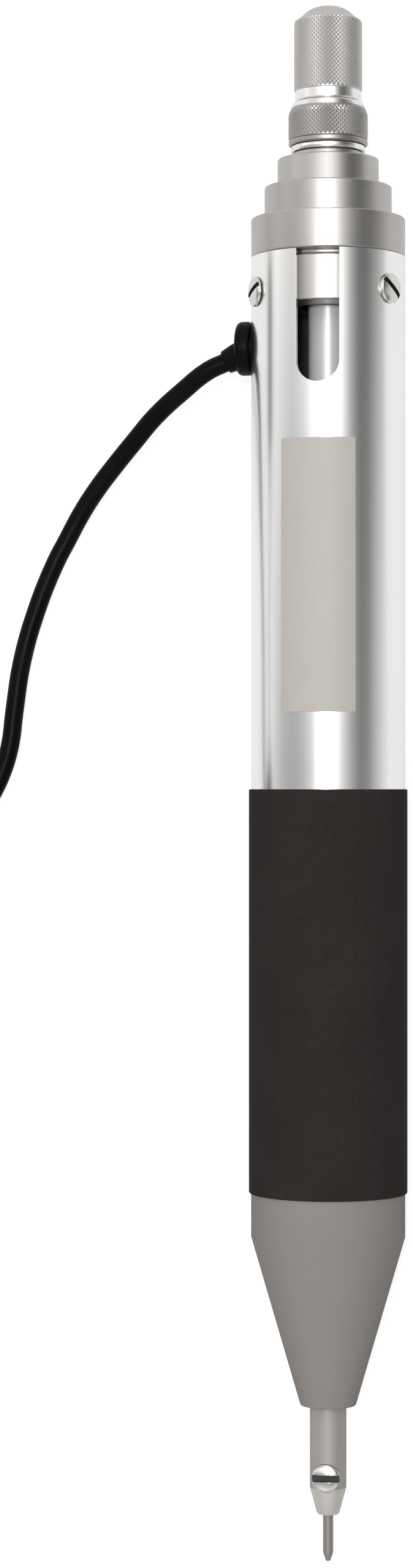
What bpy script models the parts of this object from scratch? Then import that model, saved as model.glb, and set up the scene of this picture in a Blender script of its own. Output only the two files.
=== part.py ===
"""An electric engraving pen, lying on a table with its lead wound up beside it.

The pen is modelled standing, its axis along Z, the barrel's open end at zero and the
window towards -Y. One parent empty lays it down: the knob then points along +Y and the
window looks up. The lead and its plug are placed directly on the table.
"""
import math

import bmesh
import bpy
from mathutils import Matrix, Vector

MM = 0.001

# Fits and cutters
SEAT_GAP = 0.05 * MM  # between pieces that are pressed, screwed or glued together
RUN_GAP = 0.08 * MM  # round a piece that turns or slides
END_GAP = 0.3 * MM  # between soft pieces that meet end to end
OVERRUN = 2.0 * MM  # how far a cutter passes what it cuts
MERGE = 0.0005 * MM

# How round things are
BARREL_STEPS = 40
INNER_STEPS = 24
SMALL_STEPS = 16
ARC_STEPS = 4

# Barrel with its window
BARREL_RADIUS = 8.0 * MM
BARREL_WALL = 1.0 * MM
BARREL_LENGTH = 96.7 * MM
BARREL_CHAMFER = 0.15 * MM
WINDOW_WIDTH = 4.45 * MM
WINDOW_DEPTH = 13.65 * MM
WINDOW_AZIMUTH = math.radians(-10)

# End cap, stepped, screwed into the barrel's open end
CAP_LOW_HEIGHT = 3.95 * MM
CAP_MIDDLE_RADIUS = 6.6 * MM
CAP_MIDDLE_HEIGHT = 3.3 * MM
CAP_HIGH_RADIUS = 5.25 * MM
CAP_HIGH_HEIGHT = 2.9 * MM
CAP_BOSS_WALL = 0.55 * MM
CAP_BOSS_HEIGHT = 0.7 * MM
CAP_CHAMFER = 0.3 * MM
CAP_SPIGOT_LENGTH = 5.15 * MM

# The three dome-head screws that hold the cap
CAP_SCREW_COUNT = 3
CAP_SCREW_DEPTH = 3.85 * MM  # below the barrel's end
CAP_SCREW_RADIUS = 1.0 * MM
CAP_SCREW_BACK = 1.32 * MM  # metal left between its tip and the spindle's hole
CAP_SCREW_HEAD_RADIUS = 1.55 * MM
CAP_SCREW_HEAD_EDGE = 0.15 * MM
CAP_SCREW_DOME = 0.35 * MM
CAP_SCREW_SLOT_WIDTH = 0.45 * MM
CAP_SCREW_SLOT_DEPTH = 0.3 * MM
CAP_SCREW_SLOT_TURNS = (math.radians(25), math.radians(-35), math.radians(60))

# Threaded spindle that the knob turns, and its thin end behind the window
SPINDLE_RADIUS = 3.0 * MM
SPINDLE_THREAD_END = 2.45 * MM  # below the barrel's end
SPINDLE_STUD_RADIUS = 1.6 * MM
SPINDLE_STUD_LENGTH = 6.0 * MM
ROD_SHARE = 0.293  # its radius, of the bore's

# Lock washer, lock nut and knob
LOCK_WASHER_WIDTH = 0.75 * MM
LOCK_WASHER_THICKNESS = 0.6 * MM
LOCK_NUT_WALL = 1.05 * MM
LOCK_NUT_RIM = 0.65 * MM
LOCK_NUT_KNURL_HEIGHT = 3.5 * MM
LOCK_NUT_CHAMFER = 0.25 * MM
LOCK_NUT_KNURLS = 24
LOCK_NUT_KNURL_ROWS = 6
KNOB_STANDOFF = 0.3 * MM
KNOB_RADIUS = 3.55 * MM
KNOB_RIM = 1.6 * MM
KNOB_RIM_CHAMFER = 0.3 * MM
KNOB_KNURL_HEIGHT = 6.5 * MM
KNOB_CHAMFER = 1.5 * MM
KNOB_CROWN = 0.5 * MM
KNOB_FLAT_RADIUS = 0.95 * MM
KNOB_KNURLS = 22
KNOB_KNURL_ROWS = 12
KNURL_DEPTH = 0.25 * MM

# Electromagnet: bobbin, winding, iron pole, and what holds them in the barrel
SPACER_WALL = 0.9 * MM
BOBBIN_SHARE = 0.393  # its length, of the barrel's
BOBBIN_WALL = 0.5 * MM
BOBBIN_FLANGE = 1.0 * MM
SLEEVE_WALL = 0.35 * MM
WINDING_DROP = 0.25 * MM  # how far the winding stays below the flanges
WINDING_ROUND = 0.3 * MM
POLE_FLANGE = 3.1 * MM
POLE_NOSE_LENGTH = 5.5 * MM
POLE_BORE_CLEARANCE = 0.35 * MM  # round the spring
SNAP_RING_DEPTH = 24.5 * MM  # below the barrel's end
SNAP_RING_WIDTH = 1.0 * MM
SNAP_RING_THICKNESS = 1.0 * MM
SNAP_RING_SWEEP = math.radians(325)

# Plunger, return spring and spring seat
PLUNGER_SHARE = 0.5143  # its radius, of the bore's
PLUNGER_LENGTH = 26.5 * MM
PLUNGER_SOCKET_DEPTH = 6.0 * MM
PLUNGER_STROKE = 1.5 * MM
PLUNGER_AIR_GAP = 0.3 * MM  # left between plunger and pole at the end of the stroke
PILOT_RADIUS = 1.45 * MM
PILOT_LENGTH = 1.3 * MM
SPRING_WIRE = 0.5 * MM
SPRING_SLACK = 0.12 * MM
SPRING_TURNS = 8
SPRING_TURN_POINTS = 10
SEAT_THICKNESS = 2.5 * MM
SEAT_SOCKET_DEPTH = 1.3 * MM
SEAT_STANDOFF = 4.6 * MM  # above the snap ring

# Needle holder, its stop, guide and clamp screw, and the needle
HOLDER_RADIUS = 1.9 * MM
HOLDER_REACH = 8.5 * MM  # straight part in front of the nose
HOLDER_TAPER = 2.8 * MM
HOLDER_TIP_RADIUS = 1.2 * MM
STOP_COLLAR_WALL = 1.25 * MM
STOP_COLLAR_THICKNESS = 0.7 * MM
STOP_WASHER_THICKNESS = 1.0 * MM
BUSH_WALL = 1.4 * MM
BUSH_LENGTH = 8.0 * MM
BUSH_CHAMFER = 0.3 * MM
NEEDLE_RADIUS = 0.535 * MM
NEEDLE_REACH = 4.9 * MM
NEEDLE_INSIDE = 10.0 * MM
NEEDLE_BORE_DEPTH = 13.0 * MM
NEEDLE_TAPER = 0.9 * MM
NEEDLE_TIP_RADIUS = 0.27 * MM
CLAMP_SCREW_HEIGHT = 1.2 * MM  # above the holder's taper
CLAMP_SCREW_RADIUS = 0.75 * MM
CLAMP_SCREW_SEAT = 1.3 * MM  # its spot face, from the pen's axis
CLAMP_SCREW_HEAD_RADIUS = 1.4 * MM
CLAMP_SCREW_HEAD_EDGE = 0.5 * MM
CLAMP_SCREW_DOME = 0.4 * MM
CLAMP_SCREW_SLOT_WIDTH = 0.6 * MM
CLAMP_SCREW_SLOT_DEPTH = 0.5 * MM

# Nose cone
NOSE_BASE_HEIGHT = 4.85 * MM
NOSE_CONE_LENGTH = 17.5 * MM
NOSE_TIP_RADIUS = 2.88 * MM
NOSE_TIP_CHAMFER = 0.15 * MM
NOSE_FRONT_WALL = 6.6 * MM  # in front of the bush
NOSE_SPIGOT_LENGTH = 8.25 * MM
NOSE_SPIGOT_WALL = 1.4 * MM

# Foam grip
GRIP_THICKNESS = 0.18 * MM
GRIP_LENGTH = 41.9 * MM
GRIP_OVERHANG = 0.35 * MM  # past the barrel, over the joint with the nose
GRIP_ROUND = 0.12 * MM

# Bare label on the barrel, below the window
LABEL_WIDTH = 7.8 * MM
LABEL_SHARE = 0.6723  # its length, of the bare barrel's between window and grip
LABEL_PLACE = 0.1373  # its top, down that length
LABEL_THICKNESS = 0.12 * MM
LABEL_STEPS = 8

# Moulded grommet in the barrel's side
GROMMET_AZIMUTH = math.radians(-100)
GROMMET_DEPTH = 9.2 * MM  # below the barrel's end
GROMMET_RADIUS = 2.8 * MM
GROMMET_THICKNESS = 1.5 * MM
GROMMET_ROUND = 0.5 * MM
GROMMET_NECK_RADIUS = 1.85 * MM
GROMMET_INNER_RADIUS = 2.3 * MM
GROMMET_INNER_GAP = 0.55 * MM  # its flat inner flange stands off the round bore
GROMMET_INNER_THICKNESS = 0.7 * MM
SLEEVE_TILT = math.radians(24)
SLEEVE_OFFSET = 0.4 * MM
SLEEVE_RISE = 0.6 * MM  # where it starts, outside the barrel
SLEEVE_LENGTH = 2.4 * MM
SLEEVE_COLLAR = 0.2 * MM  # thicker than the lead by this

# Lead inside the barrel
INNER_LEAD_SHARE = 0.107  # its radius, of the bore's
INNER_LEAD_BEND = 1.2 * MM
INNER_LEAD_GAP = 0.35 * MM  # inside the snap ring
INNER_LEAD_CLEARANCE = 0.1 * MM  # past the spring seat

# Lead, its coil and its plug
CORD_DIAMETER = 2.0 * MM
CORD_STEP = 2.4 * CORD_DIAMETER
COIL_TURN_GAP = 0.47 * MM
COIL_CENTRE_X = -57.0 * MM
COIL_CENTRE_Y = -15.0 * MM
COIL_MIDDLE_RADIUS = 12.0 * MM
COIL_LAYERS = 4
COIL_LAYER_TURNS = 4.625
COIL_TURN_POINTS = 20
CLIMB_HALF_WIDTH = 0.25  # turns
COIL_GAP_CHECK = 0.4 * MM
SPAN_SAMPLES = 24
PLUG_RADIUS = 4.5 * MM
PLUG_LENGTH = 28.0 * MM
PLUG_TAIL_LENGTH = 7.0 * MM
PLUG_TAIL_COLLAR = 0.6 * MM
PLUG_ROUND = 0.8 * MM
PLUG_RIBS = 4
PLUG_RIB_PITCH = 2.2 * MM
PLUG_RIB_DEPTH = 0.4 * MM
PLUG_PIN_RADIUS = 1.75 * MM
PLUG_PIN_BULGE = 0.25 * MM
PLUG_PIN_LENGTH = 15.0 * MM
PLUG_PIN_COLLAR_RADIUS = 2.8 * MM
PLUG_PIN_COLLAR = 1.2 * MM
PLUG_PIN_STEM_RADIUS = 1.5 * MM
PLUG_PIN_STEM_LENGTH = 6.0 * MM
PLUG_PIN_TIP = 0.8 * MM

# The lead's route on the table, in millimetres: along the photographed arc, then out to
# the coil, and from the coil's top turn down to the plug.
LEAD_ROUTE = [
    (-15.15, 41.0, 5.35),
    (-18.0, 38.5, 4.25),
    (-20.2, 36.0, 3.25),
    (-22.3, 33.5, 2.45),
    (-24.25, 31.0, 1.8),
    (-25.95, 28.4, 1.3),
    (-27.35, 25.8, 1.05),
    (-28.7, 23.2, 1.0),
    (-30.75, 18.0, 1.0),
    (-32.2, 12.8, 1.0),
    (-33.0, 7.6, 1.0),
    (-33.5, 3.8, 1.0),
    (-34.5, 0.6, 1.0),
    (-35.9, -2.2, 1.0),
    (-37.4, -5.2, 1.0),
    (-38.5, -8.4, 1.0),
]
TAIL_ROUTE = [
    (-75.35, -7.0, 7.9),
    (-75.9, -3.0, 6.0),
    (-75.9, 1.0, 3.8),
    (-75.4, 5.0, 2.0),
    (-74.5, 9.0, 1.15),
    (-73.3, 13.0, 1.0),
    (-71.6, 17.0, 1.25),
    (-69.8, 21.0, 2.2),
    (-68.2, 25.0, 3.5),
    (-67.2, 28.6, 4.3),
]
PLUG_X = -67.0 * MM
PLUG_Y = 34.0 * MM  # where the lead enters it

# Radii that follow
BORE_RADIUS = BARREL_RADIUS - BARREL_WALL
SPIGOT_RADIUS = BORE_RADIUS - SEAT_GAP
PLUNGER_RADIUS = PLUNGER_SHARE * BORE_RADIUS
ROD_RADIUS = ROD_SHARE * BORE_RADIUS
SPINDLE_HOLE_RADIUS = SPINDLE_RADIUS + RUN_GAP
CAP_SCREW_TIP = SPINDLE_HOLE_RADIUS + CAP_SCREW_BACK
GROMMET_INNER_SEAT = BORE_RADIUS - GROMMET_INNER_GAP
INNER_LEAD_RADIUS = INNER_LEAD_SHARE * BORE_RADIUS
INNER_LEAD_START = GROMMET_INNER_SEAT - GROMMET_INNER_THICKNESS - END_GAP
INNER_LEAD_TOP = INNER_LEAD_START - INNER_LEAD_BEND
INNER_LEAD_OFFSET = SPIGOT_RADIUS - SNAP_RING_WIDTH - INNER_LEAD_GAP - INNER_LEAD_RADIUS
SEAT_RADIUS = INNER_LEAD_TOP - INNER_LEAD_RADIUS - INNER_LEAD_CLEARANCE
CAP_BOSS_RADIUS = SPINDLE_HOLE_RADIUS + CAP_BOSS_WALL
LOCK_WASHER_RADIUS = SPINDLE_HOLE_RADIUS + LOCK_WASHER_WIDTH
LOCK_NUT_RADIUS = SPINDLE_HOLE_RADIUS + LOCK_NUT_WALL
BOBBIN_BORE_RADIUS = PLUNGER_RADIUS + RUN_GAP
BOBBIN_CORE_RADIUS = BOBBIN_BORE_RADIUS + BOBBIN_WALL
SLEEVE_INNER_RADIUS = SPIGOT_RADIUS - SLEEVE_WALL
BOBBIN_FLANGE_RADIUS = SLEEVE_INNER_RADIUS - SEAT_GAP
WINDING_RADIUS = BOBBIN_FLANGE_RADIUS - WINDING_DROP
SPRING_RADIUS = PILOT_RADIUS + SPRING_SLACK + SPRING_WIRE / 2
POLE_BORE_RADIUS = SPRING_RADIUS + SPRING_WIRE / 2 + POLE_BORE_CLEARANCE
BUSH_BORE_RADIUS = HOLDER_RADIUS + RUN_GAP
BUSH_RADIUS = BUSH_BORE_RADIUS + BUSH_WALL
STOP_COLLAR_RADIUS = HOLDER_RADIUS + STOP_COLLAR_WALL
GRIP_INNER_RADIUS = BARREL_RADIUS + SEAT_GAP
GRIP_RADIUS = GRIP_INNER_RADIUS + GRIP_THICKNESS
CORD_RADIUS = CORD_DIAMETER / 2
COIL_PITCH = CORD_DIAMETER + COIL_TURN_GAP
COIL_OUTER_RADIUS = COIL_MIDDLE_RADIUS + COIL_LAYER_TURNS * COIL_PITCH / 2

# Heights that follow, from the barrel's open end
BARE_LENGTH = BARREL_LENGTH + GRIP_OVERHANG - GRIP_LENGTH - WINDOW_DEPTH
LABEL_TOP = -WINDOW_DEPTH - LABEL_PLACE * BARE_LENGTH
LABEL_BOTTOM = LABEL_TOP - LABEL_SHARE * BARE_LENGTH
CAP_TOP = SEAT_GAP + CAP_LOW_HEIGHT + CAP_MIDDLE_HEIGHT + CAP_HIGH_HEIGHT + CAP_BOSS_HEIGHT
LOCK_WASHER_BOTTOM = CAP_TOP + SEAT_GAP
LOCK_NUT_BOTTOM = LOCK_WASHER_BOTTOM + LOCK_WASHER_THICKNESS + SEAT_GAP
LOCK_NUT_TOP = LOCK_NUT_BOTTOM + LOCK_NUT_RIM + LOCK_NUT_KNURL_HEIGHT + LOCK_NUT_CHAMFER
KNOB_BOTTOM = LOCK_NUT_TOP + KNOB_STANDOFF
KNOB_TOP = KNOB_BOTTOM + KNOB_RIM + KNOB_KNURL_HEIGHT + KNOB_CHAMFER + KNOB_CROWN
BARREL_BOTTOM = -BARREL_LENGTH
NOSE_SHOULDER = BARREL_BOTTOM - SEAT_GAP
NOSE_FRONT = NOSE_SHOULDER - NOSE_BASE_HEIGHT - NOSE_CONE_LENGTH
HOLDER_SHOULDER = NOSE_FRONT - HOLDER_REACH
HOLDER_FRONT = HOLDER_SHOULDER - HOLDER_TAPER
NEEDLE_POINT = HOLDER_FRONT - NEEDLE_REACH
SNAP_RING_TOP = -SNAP_RING_DEPTH
SNAP_RING_BOTTOM = SNAP_RING_TOP - SNAP_RING_THICKNESS
POLE_TOP = SNAP_RING_BOTTOM - SEAT_GAP
POLE_SEAT = POLE_TOP - POLE_FLANGE
BOBBIN_TOP = POLE_SEAT - SEAT_GAP
BOBBIN_BOTTOM = BOBBIN_TOP - BOBBIN_SHARE * BARREL_LENGTH
SPACER_TOP = BOBBIN_BOTTOM - SEAT_GAP
SPACER_BOTTOM = NOSE_SHOULDER + NOSE_SPIGOT_LENGTH + SEAT_GAP
SEAT_BOTTOM = SNAP_RING_TOP + SEAT_STANDOFF
SEAT_TOP = SEAT_BOTTOM + SEAT_THICKNESS
PLUNGER_TOP = POLE_SEAT - POLE_NOSE_LENGTH - PLUNGER_AIR_GAP - PLUNGER_STROKE
PLUNGER_BOTTOM = PLUNGER_TOP - PLUNGER_LENGTH
BUSH_BOTTOM = NOSE_FRONT + NOSE_FRONT_WALL + SEAT_GAP
BUSH_TOP = BUSH_BOTTOM + BUSH_LENGTH
STOP_WASHER_BOTTOM = BUSH_TOP + SEAT_GAP
STOP_COLLAR_BOTTOM = STOP_WASHER_BOTTOM + STOP_WASHER_THICKNESS + END_GAP
CLAMP_SCREW_Z = HOLDER_SHOULDER + CLAMP_SCREW_HEIGHT

# The pen lies on its rear screw's head, its middle over the origin
AXIS_HEIGHT = BARREL_RADIUS + SEAT_GAP + CAP_SCREW_HEAD_EDGE + CAP_SCREW_DOME
PEN_MIDDLE = (KNOB_TOP + NEEDLE_POINT) / 2


def remove_all():
    for obj in list(bpy.data.objects):
        bpy.data.objects.remove(obj, do_unlink=True)


def material(name, colour, roughness, metallic):
    made = bpy.data.materials.new(name)
    made.use_nodes = True
    shader = made.node_tree.nodes["Principled BSDF"]
    shader.inputs["Base Color"].default_value = (*colour, 1)
    shader.inputs["Roughness"].default_value = roughness
    shader.inputs["Metallic"].default_value = metallic
    return made


def finish(name, bm, look, parent):
    """The bmesh as a named object, smooth but for its sharp edges."""
    bmesh.ops.remove_doubles(bm, verts=bm.verts, dist=MERGE)
    bmesh.ops.recalc_face_normals(bm, faces=bm.faces)
    mesh = bpy.data.meshes.new(name)
    bm.to_mesh(mesh)
    bm.free()
    mesh.shade_smooth()
    mesh.set_sharp_from_angle(angle=math.radians(30))
    return place(name, mesh, look, parent)


def place(name, data, look, parent):
    obj = bpy.data.objects.new(name, data)
    bpy.context.collection.objects.link(obj)
    obj.data.materials.append(look)
    obj.parent = parent
    return obj


def turned(name, outline, look, parent, steps=INNER_STEPS, sweep=math.tau, start=0.0):
    """A profile of (radius, height) points turned round Z. One that starts and ends on
    the axis is left open there, and a ring's profile is closed."""
    bm = bmesh.new()
    turn = Matrix.Rotation(start, 3, "Z")
    corners = [bm.verts.new(turn @ Vector((radius, 0, height))) for radius, height in outline]
    edges = [bm.edges.new(pair) for pair in zip(corners, corners[1:])]
    if outline[0][0] > 0:
        edges.append(bm.edges.new((corners[-1], corners[0])))
    whole = sweep >= math.tau
    if not whole:
        bm.faces.new(corners)
    geometry = corners + edges + list(bm.faces)
    bmesh.ops.spin(
        bm,
        geom=geometry,
        cent=(0, 0, 0),
        axis=(0, 0, 1),
        angle=sweep,
        steps=steps,
        use_merge=whole,
    )
    return finish(name, bm, look, parent)


def ring(inner, outer, bottom, top):
    return [(inner, bottom), (outer, bottom), (outer, top), (inner, top)]


def chamfered_ring(inner, outer, bottom, top, chamfer):
    return [
        (inner, bottom),
        (outer - chamfer, bottom),
        (outer, bottom + chamfer),
        (outer, top - chamfer),
        (outer - chamfer, top),
        (inner, top),
    ]


def arc(centre_radius, centre_height, radius, height, first, last, steps=ARC_STEPS):
    """Points of an elliptic arc in a profile, between two angles in degrees."""
    angles = [math.radians(first + (last - first) * i / steps) for i in range(steps + 1)]
    return [
        (centre_radius + radius * math.cos(a), centre_height + height * math.sin(a))
        for a in angles
    ]


def knurled(name, below, above, crest, bottom, height, teeth, rows, look, parent):
    """A turned piece whose middle band is a diamond knurl. `below` and `above` are the
    profile's points under and over the band, each from the band outwards; the last of
    one joins the last of the other, in a bore or on the axis."""
    columns = 2 * teeth
    root = crest - KNURL_DEPTH
    bm = bmesh.new()

    def circle(radius, level):
        return [
            bm.verts.new((radius * math.cos(a), radius * math.sin(a), level))
            for a in (math.tau * i / columns for i in range(columns))
        ]

    def wall(lower, upper, odd=None):
        for i in range(columns):
            a, b = lower[i], lower[(i + 1) % columns]
            c, d = upper[(i + 1) % columns], upper[i]
            if odd is None:
                bm.faces.new((a, b, c, d))
            elif (i + odd) % 2 == 0:
                bm.faces.new((a, b, c))
                bm.faces.new((a, c, d))
            else:
                bm.faces.new((a, b, d))
                bm.faces.new((b, c, d))

    band = []
    for row in range(rows + 1):
        level = bottom + height * row / rows
        inside = 0 < row < rows
        line = circle(root, level)
        for i, corner in enumerate(line):
            if inside and (i + row) % 2:
                corner.co.x *= crest / root
                corner.co.y *= crest / root
        band.append(line)
    for row in range(rows):
        wall(band[row], band[row + 1], odd=row)

    lower = band[0]
    for radius, level in below:
        following = circle(radius, level)
        wall(following, lower)
        lower = following
    upper = band[-1]
    for radius, level in above:
        if radius == 0:
            pole = bm.verts.new((0, 0, level))
            for i in range(columns):
                bm.faces.new((upper[i], upper[(i + 1) % columns], pole))
            upper = None
        else:
            following = circle(radius, level)
            wall(upper, following)
            upper = following
    if upper:
        wall(upper, lower)
    return finish(name, bm, look, parent)


def box(size, centre):
    bm = bmesh.new()
    bmesh.ops.create_cube(bm, size=1, matrix=Matrix.Translation(centre) @ Matrix.Diagonal((*size, 1)))
    return bm


def cutter(name, bm, parent):
    """A shape that only cuts: it shows as wire and isn't rendered."""
    bmesh.ops.recalc_face_normals(bm, faces=bm.faces)
    mesh = bpy.data.meshes.new(name)
    bm.to_mesh(mesh)
    bm.free()
    obj = bpy.data.objects.new(name, mesh)
    bpy.context.collection.objects.link(obj)
    obj.parent = parent
    obj.hide_render = True
    obj.display_type = "WIRE"
    return obj


def cylinder(radius, near, far, steps=SMALL_STEPS):
    """A closed cylinder along Z, as a cutter's bmesh."""
    bm = bmesh.new()
    middle = Matrix.Translation((0, 0, (near + far) / 2))
    bmesh.ops.create_cone(
        bm,
        cap_ends=True,
        segments=steps,
        radius1=radius,
        radius2=radius,
        depth=far - near,
        matrix=middle,
    )
    return bm


def boolean(obj, other, operation="DIFFERENCE"):
    modifier = obj.modifiers.new(other.name, "BOOLEAN")
    modifier.operation = operation
    modifier.object = other


def point_outwards(obj, azimuth, height):
    """Turns a piece made along Z so that it points away from the pen's axis."""
    obj.rotation_euler = (math.pi / 2, 0, azimuth)
    obj.location = (0, 0, height)


def outwards(azimuth):
    return Vector((math.sin(azimuth), -math.cos(azimuth), 0))


def tube(name, points, radius, look, parent, resolution=2):
    """A round tube along the points, its ends filled."""
    curve = bpy.data.curves.new(name, "CURVE")
    curve.dimensions = "3D"
    curve.bevel_depth = radius
    curve.bevel_resolution = resolution
    curve.use_fill_caps = True
    spline = curve.splines.new("POLY")
    spline.points.add(len(points) - 1)
    for knot, point in zip(spline.points, points):
        knot.co = (*point, 1)
    return place(name, curve, look, parent)


def smooth_path(route, start_way, end_way, step):
    """Points at even steps along a smooth curve through the route's points, which
    leaves and arrives in the given directions."""
    knots = [Vector(point) for point in route]
    ways = [(after - before) / 2 for before, after in zip(knots, knots[2:])]
    first = start_way * (knots[1] - knots[0]).length
    last = end_way * (knots[-1] - knots[-2]).length
    ways = [first, *ways, last]
    dense = [knots[0]]
    for i in range(len(knots) - 1):
        for sample in range(1, SPAN_SAMPLES + 1):
            t = sample / SPAN_SAMPLES
            dense.append(
                knots[i] * (2 * t**3 - 3 * t**2 + 1)
                + ways[i] * (t**3 - 2 * t**2 + t)
                + knots[i + 1] * (3 * t**2 - 2 * t**3)
                + ways[i + 1] * (t**3 - t**2)
            )
    runs = [0.0]
    for a, b in zip(dense, dense[1:]):
        runs.append(runs[-1] + (b - a).length)
    count = max(2, round(runs[-1] / step))
    points, place_in = [], 0
    for k in range(count + 1):
        along = runs[-1] * k / count
        while place_in < len(runs) - 2 and runs[place_in + 1] < along:
            place_in += 1
        share = (along - runs[place_in]) / (runs[place_in + 1] - runs[place_in])
        points.append(dense[place_in].lerp(dense[place_in + 1], share))
    return points


def make_barrel(look, pen):
    barrel = turned(
        "barrel_tube",
        [
            (BORE_RADIUS, BARREL_BOTTOM),
            (BARREL_RADIUS, BARREL_BOTTOM),
            (BARREL_RADIUS, -BARREL_CHAMFER),
            (BARREL_RADIUS - BARREL_CHAMFER, 0),
            (BORE_RADIUS, 0),
        ],
        look,
        pen,
        BARREL_STEPS,
    )
    # The window is a slot, open at the barrel's end and round at its foot
    half = WINDOW_WIDTH / 2
    foot = half - WINDOW_DEPTH
    bm = bmesh.new()
    sides = [(half, OVERRUN), (-half, OVERRUN)]
    bow = arc(0, foot, half, half, 180, 360, SMALL_STEPS // 2)
    face = bm.faces.new([bm.verts.new((x, 0, z)) for x, z in sides + bow])
    reach = Vector((0, -BARREL_RADIUS - OVERRUN, 0))
    extruded = bmesh.ops.extrude_face_region(bm, geom=[face])
    moved = [part for part in extruded["geom"] if isinstance(part, bmesh.types.BMVert)]
    bmesh.ops.translate(bm, verts=moved, vec=reach)
    slot = cutter("window_cutter", bm, pen)
    slot.rotation_euler = (0, 0, WINDOW_AZIMUTH)
    boolean(barrel, slot)
    for i, azimuth in enumerate(cap_screw_azimuths()):
        hole = cutter(
            f"barrel_screw_cutter_{i + 1}",
            cylinder(CAP_SCREW_RADIUS + SEAT_GAP, BORE_RADIUS / 2, BARREL_RADIUS + OVERRUN),
            pen,
        )
        point_outwards(hole, azimuth, -CAP_SCREW_DEPTH)
        boolean(barrel, hole)
    hole = cutter(
        "grommet_cutter",
        cylinder(GROMMET_NECK_RADIUS + SEAT_GAP, BORE_RADIUS / 2, BARREL_RADIUS + OVERRUN),
        pen,
    )
    point_outwards(hole, GROMMET_AZIMUTH, -GROMMET_DEPTH)
    boolean(barrel, hole)


def cap_screw_azimuths():
    """Evenly round the barrel, the window midway between two of them."""
    share = math.tau / CAP_SCREW_COUNT
    return [WINDOW_AZIMUTH + share * (i - 1 / 2) for i in range(CAP_SCREW_COUNT)]


def make_end_cap(look, pen):
    low = SEAT_GAP + CAP_LOW_HEIGHT
    middle = low + CAP_MIDDLE_HEIGHT
    high = middle + CAP_HIGH_HEIGHT
    cap = turned(
        "end_cap",
        [
            (SPINDLE_HOLE_RADIUS, -CAP_SPIGOT_LENGTH),
            (SPIGOT_RADIUS - CAP_CHAMFER, -CAP_SPIGOT_LENGTH),
            (SPIGOT_RADIUS, -CAP_SPIGOT_LENGTH + CAP_CHAMFER),
            (SPIGOT_RADIUS, SEAT_GAP),
            (BARREL_RADIUS - BARREL_CHAMFER, SEAT_GAP),
            (BARREL_RADIUS, SEAT_GAP + BARREL_CHAMFER),
            (BARREL_RADIUS, low - CAP_CHAMFER),
            (BARREL_RADIUS - CAP_CHAMFER, low),
            (CAP_MIDDLE_RADIUS, low),
            (CAP_MIDDLE_RADIUS, middle - CAP_CHAMFER),
            (CAP_MIDDLE_RADIUS - CAP_CHAMFER, middle),
            (CAP_HIGH_RADIUS, middle),
            (CAP_HIGH_RADIUS, high - CAP_CHAMFER),
            (CAP_HIGH_RADIUS - CAP_CHAMFER, high),
            (CAP_BOSS_RADIUS, high),
            (CAP_BOSS_RADIUS, CAP_TOP),
            (SPINDLE_HOLE_RADIUS, CAP_TOP),
        ],
        look,
        pen,
        BARREL_STEPS,
    )
    for i, azimuth in enumerate(cap_screw_azimuths()):
        hole = cutter(
            f"cap_screw_cutter_{i + 1}",
            cylinder(CAP_SCREW_RADIUS + SEAT_GAP, CAP_SCREW_TIP - SEAT_GAP, BARREL_RADIUS + OVERRUN),
            pen,
        )
        point_outwards(hole, azimuth, -CAP_SCREW_DEPTH)
        boolean(cap, hole)


def slotted_screw(name, shank, seat, tip, head, edge, dome, slot_width, slot_depth, turn, look, pen):
    """A dome-head screw along Z: `seat` and `tip` are measured from the pen's axis."""
    top = seat + edge + dome
    outline = [(0, tip), (shank, tip), (shank, seat), (head, seat)]
    outline += arc(0, seat + edge, head, dome, 0, 90)[:-1] + [(0, top)]
    screw = turned(name, outline, look, pen, SMALL_STEPS)
    size = (2 * head + OVERRUN, slot_width, slot_depth + OVERRUN)
    centre = (0, 0, top - slot_depth + size[2] / 2)
    slot = cutter(f"{name}_slot_cutter", box(size, centre), screw)
    slot.rotation_euler = (0, 0, turn)
    boolean(screw, slot)
    return screw


def make_cap_screws(look, pen):
    seat = BARREL_RADIUS + SEAT_GAP
    names = ["cap_screw_left", "cap_screw_right", "cap_screw_rear"]
    for name, azimuth, turn in zip(names, cap_screw_azimuths(), CAP_SCREW_SLOT_TURNS):
        screw = slotted_screw(
            name,
            CAP_SCREW_RADIUS,
            seat,
            CAP_SCREW_TIP,
            CAP_SCREW_HEAD_RADIUS,
            CAP_SCREW_HEAD_EDGE,
            CAP_SCREW_DOME,
            CAP_SCREW_SLOT_WIDTH,
            CAP_SCREW_SLOT_DEPTH,
            turn,
            look,
            pen,
        )
        point_outwards(screw, azimuth, -CAP_SCREW_DEPTH)


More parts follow.
